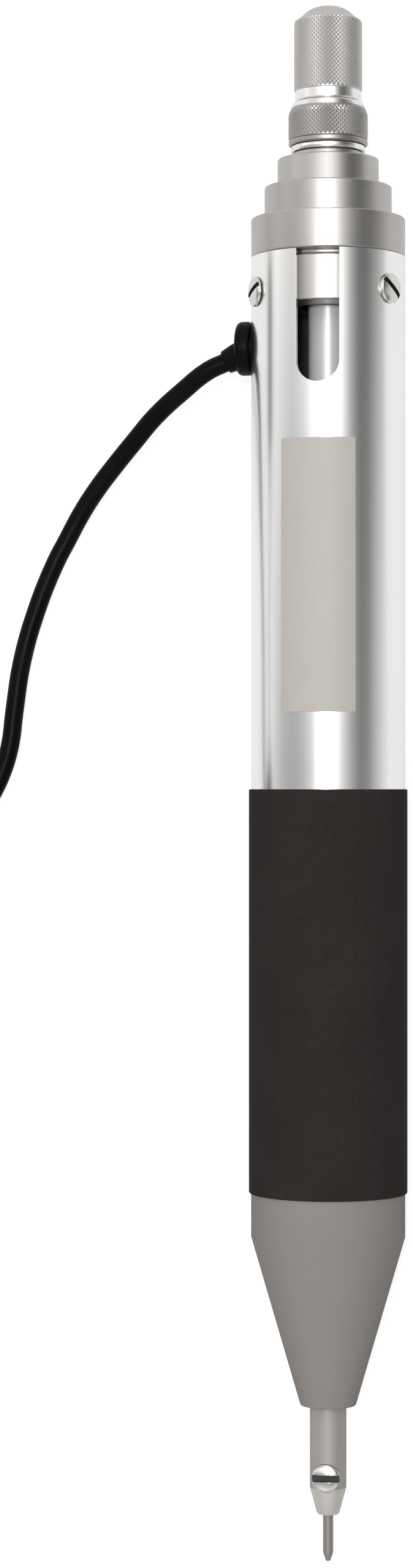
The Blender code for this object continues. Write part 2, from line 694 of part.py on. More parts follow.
def make_adjuster(steel, bright, pen):
    """Knob and spindle turn together; the lock washer and lock nut hold their setting."""
    turned(
        "lock_washer",
        ring(
            SPINDLE_HOLE_RADIUS,
            LOCK_WASHER_RADIUS,
            LOCK_WASHER_BOTTOM,
            LOCK_WASHER_BOTTOM + LOCK_WASHER_THICKNESS,
        ),
        steel,
        pen,
    )
    knurl_bottom = LOCK_NUT_BOTTOM + LOCK_NUT_RIM
    root = LOCK_NUT_RADIUS - KNURL_DEPTH
    knurled(
        "lock_nut",
        [
            (LOCK_NUT_RADIUS, knurl_bottom - KNURL_DEPTH / 2),
            (LOCK_NUT_RADIUS, LOCK_NUT_BOTTOM + LOCK_NUT_CHAMFER),
            (LOCK_NUT_RADIUS - LOCK_NUT_CHAMFER, LOCK_NUT_BOTTOM),
            (SPINDLE_HOLE_RADIUS, LOCK_NUT_BOTTOM),
        ],
        [(root - LOCK_NUT_CHAMFER, LOCK_NUT_TOP), (SPINDLE_HOLE_RADIUS, LOCK_NUT_TOP)],
        LOCK_NUT_RADIUS,
        knurl_bottom,
        LOCK_NUT_KNURL_HEIGHT,
        LOCK_NUT_KNURLS,
        LOCK_NUT_KNURL_ROWS,
        bright,
        pen,
    )
    knurl_bottom = KNOB_BOTTOM + KNOB_RIM
    knurl_top = knurl_bottom + KNOB_KNURL_HEIGHT
    root = KNOB_RADIUS - KNURL_DEPTH
    socket = SPINDLE_STUD_RADIUS + SEAT_GAP
    socket_top = KNOB_BOTTOM + SPINDLE_STUD_LENGTH + SEAT_GAP
    shoulder = root - KNOB_CHAMFER
    crown = arc(
        KNOB_FLAT_RADIUS,
        knurl_top + KNOB_CHAMFER,
        shoulder - KNOB_FLAT_RADIUS,
        KNOB_CROWN,
        0,
        90,
        3,
    )
    knob = knurled(
        "adjusting_knob",
        [
            (KNOB_RADIUS, knurl_bottom - KNURL_DEPTH / 2),
            (KNOB_RADIUS, KNOB_BOTTOM + KNOB_RIM_CHAMFER),
            (KNOB_RADIUS - KNOB_RIM_CHAMFER, KNOB_BOTTOM),
            (socket, KNOB_BOTTOM),
            (socket, socket_top),
        ],
        crown + [(0, KNOB_TOP)],
        KNOB_RADIUS,
        knurl_bottom,
        KNOB_KNURL_HEIGHT,
        KNOB_KNURLS,
        KNOB_KNURL_ROWS,
        bright,
        pen,
    )
    close_socket(knob, socket_top)
    rod_bottom = SEAT_TOP - SEAT_SOCKET_DEPTH + RUN_GAP
    stud_bottom = KNOB_BOTTOM - SEAT_GAP
    turned(
        "adjusting_spindle",
        [
            (0, rod_bottom),
            (ROD_RADIUS, rod_bottom),
            (ROD_RADIUS, -SPINDLE_THREAD_END),
            (SPINDLE_RADIUS, -SPINDLE_THREAD_END),
            (SPINDLE_RADIUS, stud_bottom),
            (SPINDLE_STUD_RADIUS, stud_bottom),
            (SPINDLE_STUD_RADIUS, KNOB_BOTTOM + SPINDLE_STUD_LENGTH),
            (0, KNOB_BOTTOM + SPINDLE_STUD_LENGTH),
        ],
        steel,
        pen,
    )


def close_socket(obj, height):
    """Fills the open ring of edges at a blind socket's inner end."""
    bm = bmesh.new()
    bm.from_mesh(obj.data)
    rim = [e for e in bm.edges if e.is_boundary and abs(e.verts[0].co.z - height) < MERGE]
    bmesh.ops.contextual_create(bm, geom=rim)
    bmesh.ops.recalc_face_normals(bm, faces=bm.faces)
    bm.to_mesh(obj.data)
    bm.free()


def make_magnet(looks, pen):
    turned(
        "spacer_tube",
        ring(SPIGOT_RADIUS - SPACER_WALL, SPIGOT_RADIUS, SPACER_BOTTOM, SPACER_TOP),
        looks["plastic"],
        pen,
    )
    low, high = BOBBIN_BOTTOM + BOBBIN_FLANGE, BOBBIN_TOP - BOBBIN_FLANGE
    turned(
        "coil_bobbin",
        [
            (BOBBIN_BORE_RADIUS, BOBBIN_BOTTOM),
            (BOBBIN_FLANGE_RADIUS, BOBBIN_BOTTOM),
            (BOBBIN_FLANGE_RADIUS, low),
            (BOBBIN_CORE_RADIUS, low),
            (BOBBIN_CORE_RADIUS, high),
            (BOBBIN_FLANGE_RADIUS, high),
            (BOBBIN_FLANGE_RADIUS, BOBBIN_TOP),
            (BOBBIN_BORE_RADIUS, BOBBIN_TOP),
        ],
        looks["plastic"],
        pen,
    )
    turned(
        "coil_winding",
        chamfered_ring(
            BOBBIN_CORE_RADIUS + SEAT_GAP,
            WINDING_RADIUS,
            low + SEAT_GAP,
            high - SEAT_GAP,
            WINDING_ROUND,
        ),
        looks["copper"],
        pen,
    )
    turned(
        "insulating_sleeve",
        ring(SLEEVE_INNER_RADIUS, SPIGOT_RADIUS, BOBBIN_BOTTOM, BOBBIN_TOP),
        looks["paper"],
        pen,
    )
    pole = turned(
        "pole_piece",
        [
            (POLE_BORE_RADIUS, POLE_SEAT - POLE_NOSE_LENGTH),
            (BOBBIN_BORE_RADIUS - SEAT_GAP, POLE_SEAT - POLE_NOSE_LENGTH),
            (BOBBIN_BORE_RADIUS - SEAT_GAP, POLE_SEAT),
            (SPIGOT_RADIUS, POLE_SEAT),
            (SPIGOT_RADIUS, POLE_TOP),
            (POLE_BORE_RADIUS, POLE_TOP),
        ],
        looks["iron"],
        pen,
    )
    hole = cutter(
        "pole_lead_cutter",
        cylinder(INNER_LEAD_RADIUS + RUN_GAP, POLE_SEAT - OVERRUN / 4, POLE_TOP + OVERRUN),
        pen,
    )
    hole.location = outwards(GROMMET_AZIMUTH) * INNER_LEAD_OFFSET
    boolean(pole, hole)
    turned(
        "snap_ring",
        ring(SPIGOT_RADIUS - SNAP_RING_WIDTH, SPIGOT_RADIUS, SNAP_RING_BOTTOM, SNAP_RING_TOP),
        looks["steel"],
        pen,
        BARREL_STEPS,
        SNAP_RING_SWEEP,
        WINDOW_AZIMUTH,
    )


def make_plunger(looks, pen):
    socket = HOLDER_RADIUS + SEAT_GAP
    socket_top = PLUNGER_BOTTOM + PLUNGER_SOCKET_DEPTH
    turned(
        "plunger",
        [
            (0, socket_top),
            (socket, socket_top),
            (socket, PLUNGER_BOTTOM),
            (PLUNGER_RADIUS, PLUNGER_BOTTOM),
            (PLUNGER_RADIUS, PLUNGER_TOP),
            (PILOT_RADIUS, PLUNGER_TOP),
            (PILOT_RADIUS, PLUNGER_TOP + PILOT_LENGTH),
            (0, PLUNGER_TOP + PILOT_LENGTH),
        ],
        looks["iron"],
        pen,
    )
    socket = ROD_RADIUS + RUN_GAP
    floor = SEAT_TOP - SEAT_SOCKET_DEPTH
    turned(
        "spring_seat",
        [
            (0, SEAT_BOTTOM - PILOT_LENGTH),
            (PILOT_RADIUS, SEAT_BOTTOM - PILOT_LENGTH),
            (PILOT_RADIUS, SEAT_BOTTOM),
            (SEAT_RADIUS, SEAT_BOTTOM),
            (SEAT_RADIUS, SEAT_TOP),
            (socket, SEAT_TOP),
            (socket, floor),
            (0, floor),
        ],
        looks["brass"],
        pen,
    )
    low = PLUNGER_TOP + SEAT_GAP + SPRING_WIRE / 2
    high = SEAT_BOTTOM - SEAT_GAP - SPRING_WIRE / 2
    count = SPRING_TURNS * SPRING_TURN_POINTS
    points = []
    for i in range(count + 1):
        angle = math.tau * i / SPRING_TURN_POINTS
        height = low + (high - low) * i / count
        points.append((SPRING_RADIUS * math.cos(angle), SPRING_RADIUS * math.sin(angle), height))
    tube("return_spring", points, SPRING_WIRE / 2, looks["steel"], pen, 1)


def make_needle_end(looks, pen):
    bore = NEEDLE_RADIUS + RUN_GAP
    bore_top = HOLDER_FRONT + NEEDLE_BORE_DEPTH
    top = PLUNGER_BOTTOM + PLUNGER_SOCKET_DEPTH - SEAT_GAP
    holder = turned(
        "needle_holder",
        [
            (0, bore_top),
            (bore, bore_top),
            (bore, HOLDER_FRONT),
            (HOLDER_TIP_RADIUS, HOLDER_FRONT),
            (HOLDER_RADIUS, HOLDER_SHOULDER),
            (HOLDER_RADIUS, top),
            (0, top),
        ],
        looks["satin"],
        pen,
    )
    seat = CLAMP_SCREW_SEAT + SEAT_GAP
    tip = NEEDLE_RADIUS + RUN_GAP
    hole = cutter(
        "clamp_hole_cutter",
        cylinder(CLAMP_SCREW_RADIUS + RUN_GAP, tip / 2, HOLDER_RADIUS + OVERRUN),
        pen,
    )
    face = cutter(
        "spot_face_cutter",
        cylinder(CLAMP_SCREW_HEAD_RADIUS + RUN_GAP, CLAMP_SCREW_SEAT, HOLDER_RADIUS + OVERRUN),
        pen,
    )
    for shape in (hole, face):
        point_outwards(shape, WINDOW_AZIMUTH, CLAMP_SCREW_Z)
        boolean(holder, shape)
    screw = slotted_screw(
        "clamp_screw",
        CLAMP_SCREW_RADIUS,
        seat,
        tip,
        CLAMP_SCREW_HEAD_RADIUS,
        CLAMP_SCREW_HEAD_EDGE,
        CLAMP_SCREW_DOME,
        CLAMP_SCREW_SLOT_WIDTH,
        CLAMP_SCREW_SLOT_DEPTH,
        0,
        looks["steel"],
        pen,
    )
    point_outwards(screw, WINDOW_AZIMUTH, CLAMP_SCREW_Z)
    turned(
        "needle",
        [
            (0, NEEDLE_POINT),
            (NEEDLE_TIP_RADIUS, NEEDLE_POINT),
            (NEEDLE_RADIUS, NEEDLE_POINT + NEEDLE_TAPER),
            (NEEDLE_RADIUS, HOLDER_FRONT + NEEDLE_INSIDE),
            (0, HOLDER_FRONT + NEEDLE_INSIDE),
        ],
        looks["steel"],
        pen,
        SMALL_STEPS,
    )
    turned(
        "stop_collar",
        ring(
            HOLDER_RADIUS + SEAT_GAP,
            STOP_COLLAR_RADIUS,
            STOP_COLLAR_BOTTOM,
            STOP_COLLAR_BOTTOM + STOP_COLLAR_THICKNESS,
        ),
        looks["steel"],
        pen,
        SMALL_STEPS,
    )
    turned(
        "stop_washer",
        ring(
            BUSH_BORE_RADIUS + RUN_GAP,
            STOP_COLLAR_RADIUS,
            STOP_WASHER_BOTTOM,
            STOP_WASHER_BOTTOM + STOP_WASHER_THICKNESS,
        ),
        looks["rubber"],
        pen,
        SMALL_STEPS,
    )
    turned(
        "guide_bush",
        chamfered_ring(BUSH_BORE_RADIUS, BUSH_RADIUS, BUSH_BOTTOM, BUSH_TOP, BUSH_CHAMFER),
        looks["brass"],
        pen,
    )


def make_nose(look, pen):
    base = NOSE_SHOULDER - NOSE_BASE_HEIGHT
    pocket = BUSH_RADIUS + SEAT_GAP
    pocket_bottom = NOSE_FRONT + NOSE_FRONT_WALL
    chamber = SPIGOT_RADIUS - NOSE_SPIGOT_WALL
    spigot_top = NOSE_SHOULDER + NOSE_SPIGOT_LENGTH
    hole = HOLDER_RADIUS + 2 * RUN_GAP
    turned(
        "nose_cone",
        [
            (hole, NOSE_FRONT),
            (NOSE_TIP_RADIUS - NOSE_TIP_CHAMFER, NOSE_FRONT),
            (NOSE_TIP_RADIUS, NOSE_FRONT + NOSE_TIP_CHAMFER),
            (BARREL_RADIUS, base),
            (BARREL_RADIUS, NOSE_SHOULDER),
            (SPIGOT_RADIUS, NOSE_SHOULDER),
            (SPIGOT_RADIUS, spigot_top),
            (chamber, spigot_top),
            (chamber, BUSH_TOP),
            (pocket, BUSH_TOP),
            (pocket, pocket_bottom),
            (hole, pocket_bottom),
        ],
        look,
        pen,
        BARREL_STEPS,
    )


def make_grip(look, pen):
    bottom = BARREL_BOTTOM - GRIP_OVERHANG
    top = bottom + GRIP_LENGTH
    turned(
        "foam_grip",
        chamfered_ring(GRIP_INNER_RADIUS, GRIP_RADIUS, bottom, top, GRIP_ROUND),
        look,
        pen,
        BARREL_STEPS,
    )


def make_label(look, pen):
    inner = BARREL_RADIUS + SEAT_GAP
    sweep = LABEL_WIDTH / inner
    middle = WINDOW_AZIMUTH - math.pi / 2
    turned(
        "label_plate",
        ring(inner, inner + LABEL_THICKNESS, LABEL_BOTTOM, LABEL_TOP),
        look,
        pen,
        LABEL_STEPS,
        sweep,
        middle - sweep / 2,
    )


def sleeve_axis():
    """Where the grommet's sleeve starts and which way it points, in the pen's frame."""
    away = outwards(GROMMET_AZIMUTH)
    way = away * math.cos(SLEEVE_TILT) - Vector((0, 0, math.sin(SLEEVE_TILT)))
    root = away * (BARREL_RADIUS + SLEEVE_RISE) - Vector((0, 0, GROMMET_DEPTH + SLEEVE_OFFSET))
    return root, way


def make_grommet(look, pen):
    seat = BARREL_RADIUS + SEAT_GAP
    face = seat + GROMMET_THICKNESS
    inner_face = GROMMET_INNER_SEAT - GROMMET_INNER_THICKNESS
    outline = [
        (0, inner_face),
        (GROMMET_INNER_RADIUS, inner_face),
        (GROMMET_INNER_RADIUS, GROMMET_INNER_SEAT),
        (GROMMET_NECK_RADIUS, GROMMET_INNER_SEAT),
        (GROMMET_NECK_RADIUS, seat),
        (GROMMET_RADIUS, seat),
    ]
    rim = GROMMET_RADIUS - GROMMET_ROUND
    outline += arc(rim, face - GROMMET_ROUND, GROMMET_ROUND, GROMMET_ROUND, 0, 90, 3)
    outline += [(0, face)]
    grommet = turned("cord_grommet", outline, look, pen, SMALL_STEPS)
    point_outwards(grommet, GROMMET_AZIMUTH, -GROMMET_DEPTH)
    root, way = sleeve_axis()
    sleeve = cutter(
        "grommet_sleeve_shape",
        cylinder(CORD_RADIUS + SLEEVE_COLLAR, 0, SLEEVE_LENGTH),
        pen,
    )
    sleeve.location = root
    sleeve.rotation_euler = Vector((0, 0, 1)).rotation_difference(way).to_euler()
    boolean(grommet, sleeve, "UNION")


def make_inner_lead(look, pen):
    """From the grommet, round a bend and down into the hole in the pole piece."""
    away = outwards(GROMMET_AZIMUTH)
    down = Vector((0, 0, -1))
    points = []
    centre = away * INNER_LEAD_START + down * (GROMMET_DEPTH + INNER_LEAD_BEND)
    for i in range(ARC_STEPS + 1):
        angle = math.pi / 2 * i / ARC_STEPS
        turn = away * (-math.sin(angle)) - down * math.cos(angle)
        points.append(centre + turn * INNER_LEAD_BEND)
    end = away * INNER_LEAD_OFFSET + Vector((0, 0, POLE_SEAT + END_GAP))
    top = points[-1]
    for i in range(1, ARC_STEPS + 1):
        share = i / ARC_STEPS
        ease = share * share * (3 - 2 * share)
        height = top.z + (POLE_TOP + OVERRUN - top.z) * share
        radius = INNER_LEAD_TOP + (INNER_LEAD_OFFSET - INNER_LEAD_TOP) * ease
        points.append(away * radius + Vector((0, 0, height)))
    points.append(end)
    tube("inner_lead", points, INNER_LEAD_RADIUS, look, pen)


def coil_path():
    """Spirals in and out by turns, one layer on another, clockwise from above."""
    total = COIL_LAYERS * COIL_LAYER_TURNS
    count = round(total * COIL_TURN_POINTS)
    points = []
    for i in range(count + 1):
        turn = total * i / count
        layer = min(int(turn / COIL_LAYER_TURNS), COIL_LAYERS - 1)
        along = turn - layer * COIL_LAYER_TURNS
        inwards = along if layer % 2 == 0 else COIL_LAYER_TURNS - along
        radius = COIL_OUTER_RADIUS - COIL_PITCH * inwards
        climbed = 0.0
        for reversal in range(1, COIL_LAYERS):
            ahead = turn - reversal * COIL_LAYER_TURNS
            share = min(max((ahead + CLIMB_HALF_WIDTH) / (2 * CLIMB_HALF_WIDTH), 0), 1)
            climbed += share * share * (3 - 2 * share)
        angle = -math.tau * turn
        points.append(
            Vector(
                (
                    COIL_CENTRE_X + radius * math.cos(angle),
                    COIL_CENTRE_Y + radius * math.sin(angle),
                    CORD_RADIUS + COIL_PITCH * climbed,
                )
            )
        )
    ahead = Vector((0, -CORD_DIAMETER, 0))
    return [points[0] - ahead, *points, points[-1] - ahead]


def least_gap(points):
    """The coil's least gap to itself, between points more than half a turn apart."""
    apart = COIL_TURN_POINTS // 2
    least = min(
        (a - b).length
        for i, a in enumerate(points)
        for b in points[i + apart :]
    )
    return least - CORD_DIAMETER


def make_cord(pen, looks):
    coil = coil_path()
    gap = least_gap(coil)
    print(f"least gap between the coil's turns: {gap / MM:.2f} mm")
    assert gap > COIL_GAP_CHECK
    root, way = sleeve_axis()
    laid = pen.matrix_world
    way = (laid.to_3x3() @ way).normalized()
    start = laid @ root + way * (SLEEVE_LENGTH + END_GAP)
    near = start + way * CORD_DIAMETER
    forwards = (coil[1] - coil[0]).normalized()
    last = coil[0] - forwards * END_GAP
    before = last - forwards * CORD_DIAMETER
    route = [near, *(Vector(p) * MM for p in LEAD_ROUTE), before]
    lead = [start, *smooth_path(route, way, forwards, CORD_STEP), last]
    tube("cord_lead", lead, CORD_RADIUS, looks["rubber"], None)
    tube("cord_coil", coil, CORD_RADIUS, looks["rubber"], None, 1)

    onwards = (coil[-1] - coil[-2]).normalized()
    start = coil[-1] + onwards * END_GAP
    near = start + onwards * CORD_DIAMETER
    last = Vector((PLUG_X, PLUG_Y - END_GAP, PLUG_RADIUS))
    into = Vector((0, 1, 0))
    before = last - into * CORD_DIAMETER
    route = [near, *(Vector(p) * MM for p in TAIL_ROUTE), before]
    tail = [start, *smooth_path(route, onwards, into, CORD_STEP), last]
    tube("cord_tail", tail, CORD_RADIUS, looks["rubber"], None)
    length = sum(
        (b - a).length for path in (lead, coil, tail) for a, b in zip(path, path[1:])
    )
    print(f"lead, coil and tail together: {length / MM:.0f} mm")


def make_plug(looks):
    """A small single-pole plug, lying along Y with its pin forwards."""
    rear = bpy.data.objects.new("plug_place", None)
    bpy.context.collection.objects.link(rear)
    rear.location = (PLUG_X, PLUG_Y, PLUG_RADIUS)
    rear.rotation_euler = (-math.pi / 2, 0, 0)
    tail = CORD_RADIUS + PLUG_TAIL_COLLAR
    bore = PLUG_PIN_STEM_RADIUS + SEAT_GAP
    floor = PLUG_LENGTH - PLUG_PIN_STEM_LENGTH
    outline = [(0, 0), (tail, 0), (tail, PLUG_TAIL_LENGTH - PLUG_ROUND)]
    outline += [(PLUG_RADIUS - PLUG_ROUND, PLUG_TAIL_LENGTH)]
    outline += [(PLUG_RADIUS, PLUG_TAIL_LENGTH + PLUG_ROUND)]
    ribs_start = (PLUG_TAIL_LENGTH + PLUG_LENGTH - PLUG_RIBS * PLUG_RIB_PITCH) / 2
    for i in range(PLUG_RIBS):
        rib = ribs_start + i * PLUG_RIB_PITCH
        quarter = PLUG_RIB_PITCH / 4
        groove = PLUG_RADIUS - PLUG_RIB_DEPTH
        outline += [(PLUG_RADIUS, rib), (groove, rib + quarter), (groove, rib + 2 * quarter)]
        outline += [(PLUG_RADIUS, rib + 3 * quarter)]
    outline += [(PLUG_RADIUS, PLUG_LENGTH - PLUG_ROUND)]
    outline += [(PLUG_RADIUS - PLUG_ROUND, PLUG_LENGTH)]
    outline += [(bore, PLUG_LENGTH), (bore, floor), (0, floor)]
    turned("plug_body", outline, looks["plastic"], rear, SMALL_STEPS)
    seat = PLUG_LENGTH + SEAT_GAP
    collar = seat + PLUG_PIN_COLLAR
    end = collar + PLUG_PIN_LENGTH
    bulge = arc(
        PLUG_PIN_RADIUS,
        (collar + end) / 2,
        PLUG_PIN_BULGE,
        PLUG_PIN_LENGTH / 3,
        -90,
        90,
        4,
    )
    outline = [
        (0, floor + SEAT_GAP),
        (PLUG_PIN_STEM_RADIUS, floor + SEAT_GAP),
        (PLUG_PIN_STEM_RADIUS, seat),
        (PLUG_PIN_COLLAR_RADIUS, seat),
        (PLUG_PIN_COLLAR_RADIUS, collar),
        (PLUG_PIN_RADIUS, collar),
        *bulge,
        (PLUG_PIN_RADIUS, end - PLUG_PIN_TIP),
        (PLUG_PIN_RADIUS - PLUG_PIN_TIP, end),
        (0, end),
    ]
    turned("plug_pin", outline, looks["brass"], rear, SMALL_STEPS)


def main():
    remove_all()
    looks = {
        "chrome": material("polished_chrome", (0.78, 0.77, 0.75), 0.12, 1),
        "nickel": material("turned_nickel", (0.70, 0.68, 0.65), 0.25, 1),
        "satin": material("satin_grey_metal", (0.42, 0.39, 0.37), 0.42, 1),
        "steel": material("bright_steel", (0.60, 0.58, 0.56), 0.25, 1),
        "iron": material("soft_iron", (0.30, 0.29, 0.28), 0.5, 1),
        "brass": material("brass", (0.72, 0.56, 0.28), 0.3, 1),
        "copper": material("enamelled_copper", (0.55, 0.24, 0.10), 0.35, 1),
        "plastic": material("black_plastic", (0.03, 0.03, 0.032), 0.45, 0),
        "paper": material("insulating_paper", (0.62, 0.50, 0.34), 0.8, 0),
        "rubber": material("black_rubber", (0.02, 0.02, 0.02), 0.4, 0),
        "foam": material("black_foam", (0.025, 0.023, 0.022), 0.85, 0),
        "label": material("beige_label", (0.60, 0.56, 0.51), 0.5, 0),
    }
    pen = bpy.data.objects.new("pen_axis", None)
    bpy.context.collection.objects.link(pen)
    pen.location = (0, -PEN_MIDDLE, AXIS_HEIGHT)
    pen.rotation_euler = (-math.pi / 2, 0, 0)
    bpy.context.view_layer.update()
    make_barrel(looks["chrome"], pen)
    make_end_cap(looks["nickel"], pen)
    make_cap_screws(looks["steel"], pen)
    make_adjuster(looks["steel"], looks["nickel"], pen)
    make_magnet(looks, pen)
    make_plunger(looks, pen)
    make_needle_end(looks, pen)
    make_nose(looks["satin"], pen)
    make_grip(looks["foam"], pen)
    make_label(looks["label"], pen)
    make_grommet(looks["rubber"], pen)
    make_inner_lead(looks["rubber"], pen)
    make_cord(pen, looks)
    make_plug(looks)


main()
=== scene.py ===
"""An electric engraving pen on a white table: its finished surfaces, room, lamp and camera."""
import math

import bpy
from mathutils import Matrix, Vector


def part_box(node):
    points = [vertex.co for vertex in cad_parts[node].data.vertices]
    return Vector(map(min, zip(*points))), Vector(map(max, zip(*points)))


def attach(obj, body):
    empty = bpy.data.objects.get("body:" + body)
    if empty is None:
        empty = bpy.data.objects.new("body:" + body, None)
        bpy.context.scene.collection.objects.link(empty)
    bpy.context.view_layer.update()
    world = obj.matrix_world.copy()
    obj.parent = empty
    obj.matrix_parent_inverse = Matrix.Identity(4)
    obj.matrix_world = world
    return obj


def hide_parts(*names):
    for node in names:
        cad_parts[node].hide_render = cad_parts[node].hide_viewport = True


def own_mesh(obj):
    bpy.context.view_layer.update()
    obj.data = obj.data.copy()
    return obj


MM = 0.001
AROUND = 240  # facets round a large turned piece
AROUND_MIDDLE = 96
AROUND_SMALL = 64
TOUCH = 1e-7  # metres within which two points are in one place

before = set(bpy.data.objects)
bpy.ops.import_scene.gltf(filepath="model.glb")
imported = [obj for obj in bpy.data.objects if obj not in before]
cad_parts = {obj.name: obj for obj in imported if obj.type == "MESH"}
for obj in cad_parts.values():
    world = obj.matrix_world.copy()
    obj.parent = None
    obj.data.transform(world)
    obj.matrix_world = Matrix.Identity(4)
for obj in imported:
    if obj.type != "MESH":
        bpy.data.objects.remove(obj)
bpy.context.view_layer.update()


def box(node):
    """A node's lowest and highest corners, in millimetres to the nearest micron."""
    return [[round(value / MM, 3) for value in corner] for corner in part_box(node)]


# The pen's own axis: heights run in millimetres from the barrel's open end, the knob's way
# up. It lies along Y, the window looking up, and turns are in degrees from straight up
# towards +X.
barrel_low, barrel_high = box("barrel_tube")
AXIS_HEIGHT = (barrel_low[2] + barrel_high[2]) / 2
OPEN_END_Y = barrel_high[1]
LAID_DOWN = Matrix.Rotation(-math.pi / 2, 4, "X")
PEN = Matrix.Translation((0, OPEN_END_Y * MM, AXIS_HEIGHT * MM)) @ LAID_DOWN
WINDOW_TURN = -10
SCREW_TURNS = (-70, 50, 170)


def span(node):
    """The heights where a node begins and ends."""
    low, high = box(node)
    return round(low[1] - OPEN_END_Y, 3), round(high[1] - OPEN_END_Y, 3)


def radius_of(node):
    """The radius of a node that is turned, at its widest."""
    low, high = box(node)
    return (high[0] - low[0]) / 2


def radial(turned_by, height):
    """Where a piece made along Z goes to point out of the pen."""
    lift = Matrix.Translation((0, 0, height * MM))
    swing = Matrix.Rotation(math.radians(turned_by), 4, "Z") @ Matrix.Rotation(math.pi / 2, 4, "X")
    return PEN @ lift @ swing


# Shader nodes, written as expressions


class Wire:
    """A number that varies over a surface. Python's operators on it add Math nodes."""

    def __init__(self, tree, socket):
        self.tree = tree
        self.socket = socket

    def maths(self, operation, *values, clamp=False):
        settings = {"operation": operation, "use_clamp": clamp}
        node = self.tree.node("ShaderNodeMath", settings, dict(enumerate(values)))
        return Wire(self.tree, node.outputs[0])

    def __add__(self, other):
        return self.maths("ADD", self, other)

    def __radd__(self, other):
        return self.maths("ADD", other, self)

    def __sub__(self, other):
        return self.maths("SUBTRACT", self, other)

    def __rsub__(self, other):
        return self.maths("SUBTRACT", other, self)

    def __mul__(self, other):
        return self.maths("MULTIPLY", self, other)

    def __rmul__(self, other):
        return self.maths("MULTIPLY", other, self)

    def __truediv__(self, other):
        return self.maths("DIVIDE", self, other)

    def __rtruediv__(self, other):
        return self.maths("DIVIDE", other, self)

    def clamped(self):
        return self.maths("ADD", self, 0, clamp=True)

    def sine(self):
        return self.maths("SINE", self)

    def turn_from(self, other):
        return self.maths("ARCTAN2", self, other)


class Tree:
    """A material's or the world's nodes."""

    def __init__(self, owner):
        owner.use_nodes = True
        self.nodes = owner.node_tree.nodes
        self.links = owner.node_tree.links

    def node(self, kind, settings=None, inputs=None):
        made = self.nodes.new(kind)
        for name, value in (settings or {}).items():
            if name == "stops":
                self.set_stops(made.color_ramp, value)
            else:
                setattr(made, name, value)
        for name, value in (inputs or {}).items():
            self.feed(made.inputs[name], value)
        return made

    def feed(self, socket, value):
        if isinstance(value, Wire):
            value = value.socket
        if isinstance(value, bpy.types.NodeSocket):
            self.links.new(value, socket)
        else:
            socket.default_value = value

    def set_stops(self, ramp, stops):
        while len(ramp.elements) < len(stops):
            ramp.elements.new(1.0)
        for element, (place, level) in zip(ramp.elements, stops):
            element.position = place
            element.color = (level, level, level, 1)

    def wire(self, node, output=0):
        return Wire(self, node.outputs[output])

    def place(self, stretch=(1, 1, 1)):
        """The point of the piece, stretched."""
        where = self.node("ShaderNodeTexCoord").outputs["Object"]
        inputs = {"Vector": where, "Scale": stretch}
        return self.node("ShaderNodeMapping", {}, inputs).outputs[0]

    def noise(self, scale, detail=2.0, stretch=(1, 1, 1)):
        inputs = {"Vector": self.place(stretch), "Scale": scale, "Detail": detail}
        return self.wire(self.node("ShaderNodeTexNoise", {"normalize": True}, inputs), "Fac")

    def mix(self, factor, first, second):
        inputs = {0: factor, 6: first, 7: second}
        return self.node("ShaderNodeMix", {"data_type": "RGBA"}, inputs).outputs[2]

    def bump(self, height, distance, strength=1.0):
        inputs = {"Height": height, "Distance": distance, "Strength": strength}
        return self.node("ShaderNodeBump", {}, inputs).outputs[0]


def shade(colour, level):
    return (*(channel * level for channel in colour), 1)


def finish_of(name, colour, roughness, metallic=0.0, gloss=0.5):
    """A material and its tree, the even numbers set on the shader itself."""
    made = bpy.data.materials.new(name)
    tree = Tree(made)
    shader = tree.nodes["Principled BSDF"]
    shader.inputs["Base Color"].default_value = (*colour, 1)
    shader.inputs["Roughness"].default_value = roughness
    shader.inputs["Metallic"].default_value = metallic
    shader.inputs["Specular IOR Level"].default_value = gloss
    return made, tree, shader


def metal(
    name, colour, roughness, spread, stretch, relief=0.0, scale=900, metallic=1.0, gloss=0.5
):
    """Metal with fine marks, stretched or not, which vary its gloss and its tone."""
    made, tree, shader = finish_of(name, colour, roughness, metallic, gloss)
    marks = tree.noise(scale, 3.0, stretch)
    clouds = tree.noise(120)
    tree.feed(shader.inputs["Roughness"], (roughness - spread) + (marks + clouds) * spread)
    tone = tree.mix(marks, shade(colour, 0.94), shade(colour, 1.04))
    tree.feed(shader.inputs["Base Color"], tone)
    if relief:
        tree.feed(shader.inputs["Normal"], tree.bump(marks, relief))
    return made


def foam(name):
    made, tree, shader = finish_of(name, (0.022, 0.019, 0.018), 0.9, gloss=0.12)
    cells = tree.node(
        "ShaderNodeTexVoronoi",
        {"feature": "SMOOTH_F1"},
        {"Vector": tree.place(), "Scale": 3400, "Smoothness": 0.6},
    )
    cell = tree.wire(cells, "Distance")
    grain = tree.noise(5200, 3.0)
    patches = tree.noise(160)
    level = (cell * 0.5 + patches * 0.7).clamped()
    tone = tree.mix(level, (0.015, 0.013, 0.012, 1), (0.030, 0.026, 0.0245, 1))
    tree.feed(shader.inputs["Base Color"], tone)
    tree.feed(shader.inputs["Roughness"], 0.82 + grain * 0.16)
    tree.feed(shader.inputs["Normal"], tree.bump(cell + grain * 0.6, 0.04 * MM, 0.7))
    return made


def rubber(name, colour, roughness, gloss):
    made, tree, shader = finish_of(name, colour, roughness, gloss=gloss)
    grain = tree.noise(2600)
    dust = tree.noise(240, 4.0)
    tree.feed(shader.inputs["Roughness"], (roughness - 0.08) + dust * 0.18)
    tree.feed(shader.inputs["Base Color"], tree.mix(dust, shade(colour, 0.8), shade(colour, 1.5)))
    tree.feed(shader.inputs["Normal"], tree.bump(grain, 0.006 * MM))
    return made


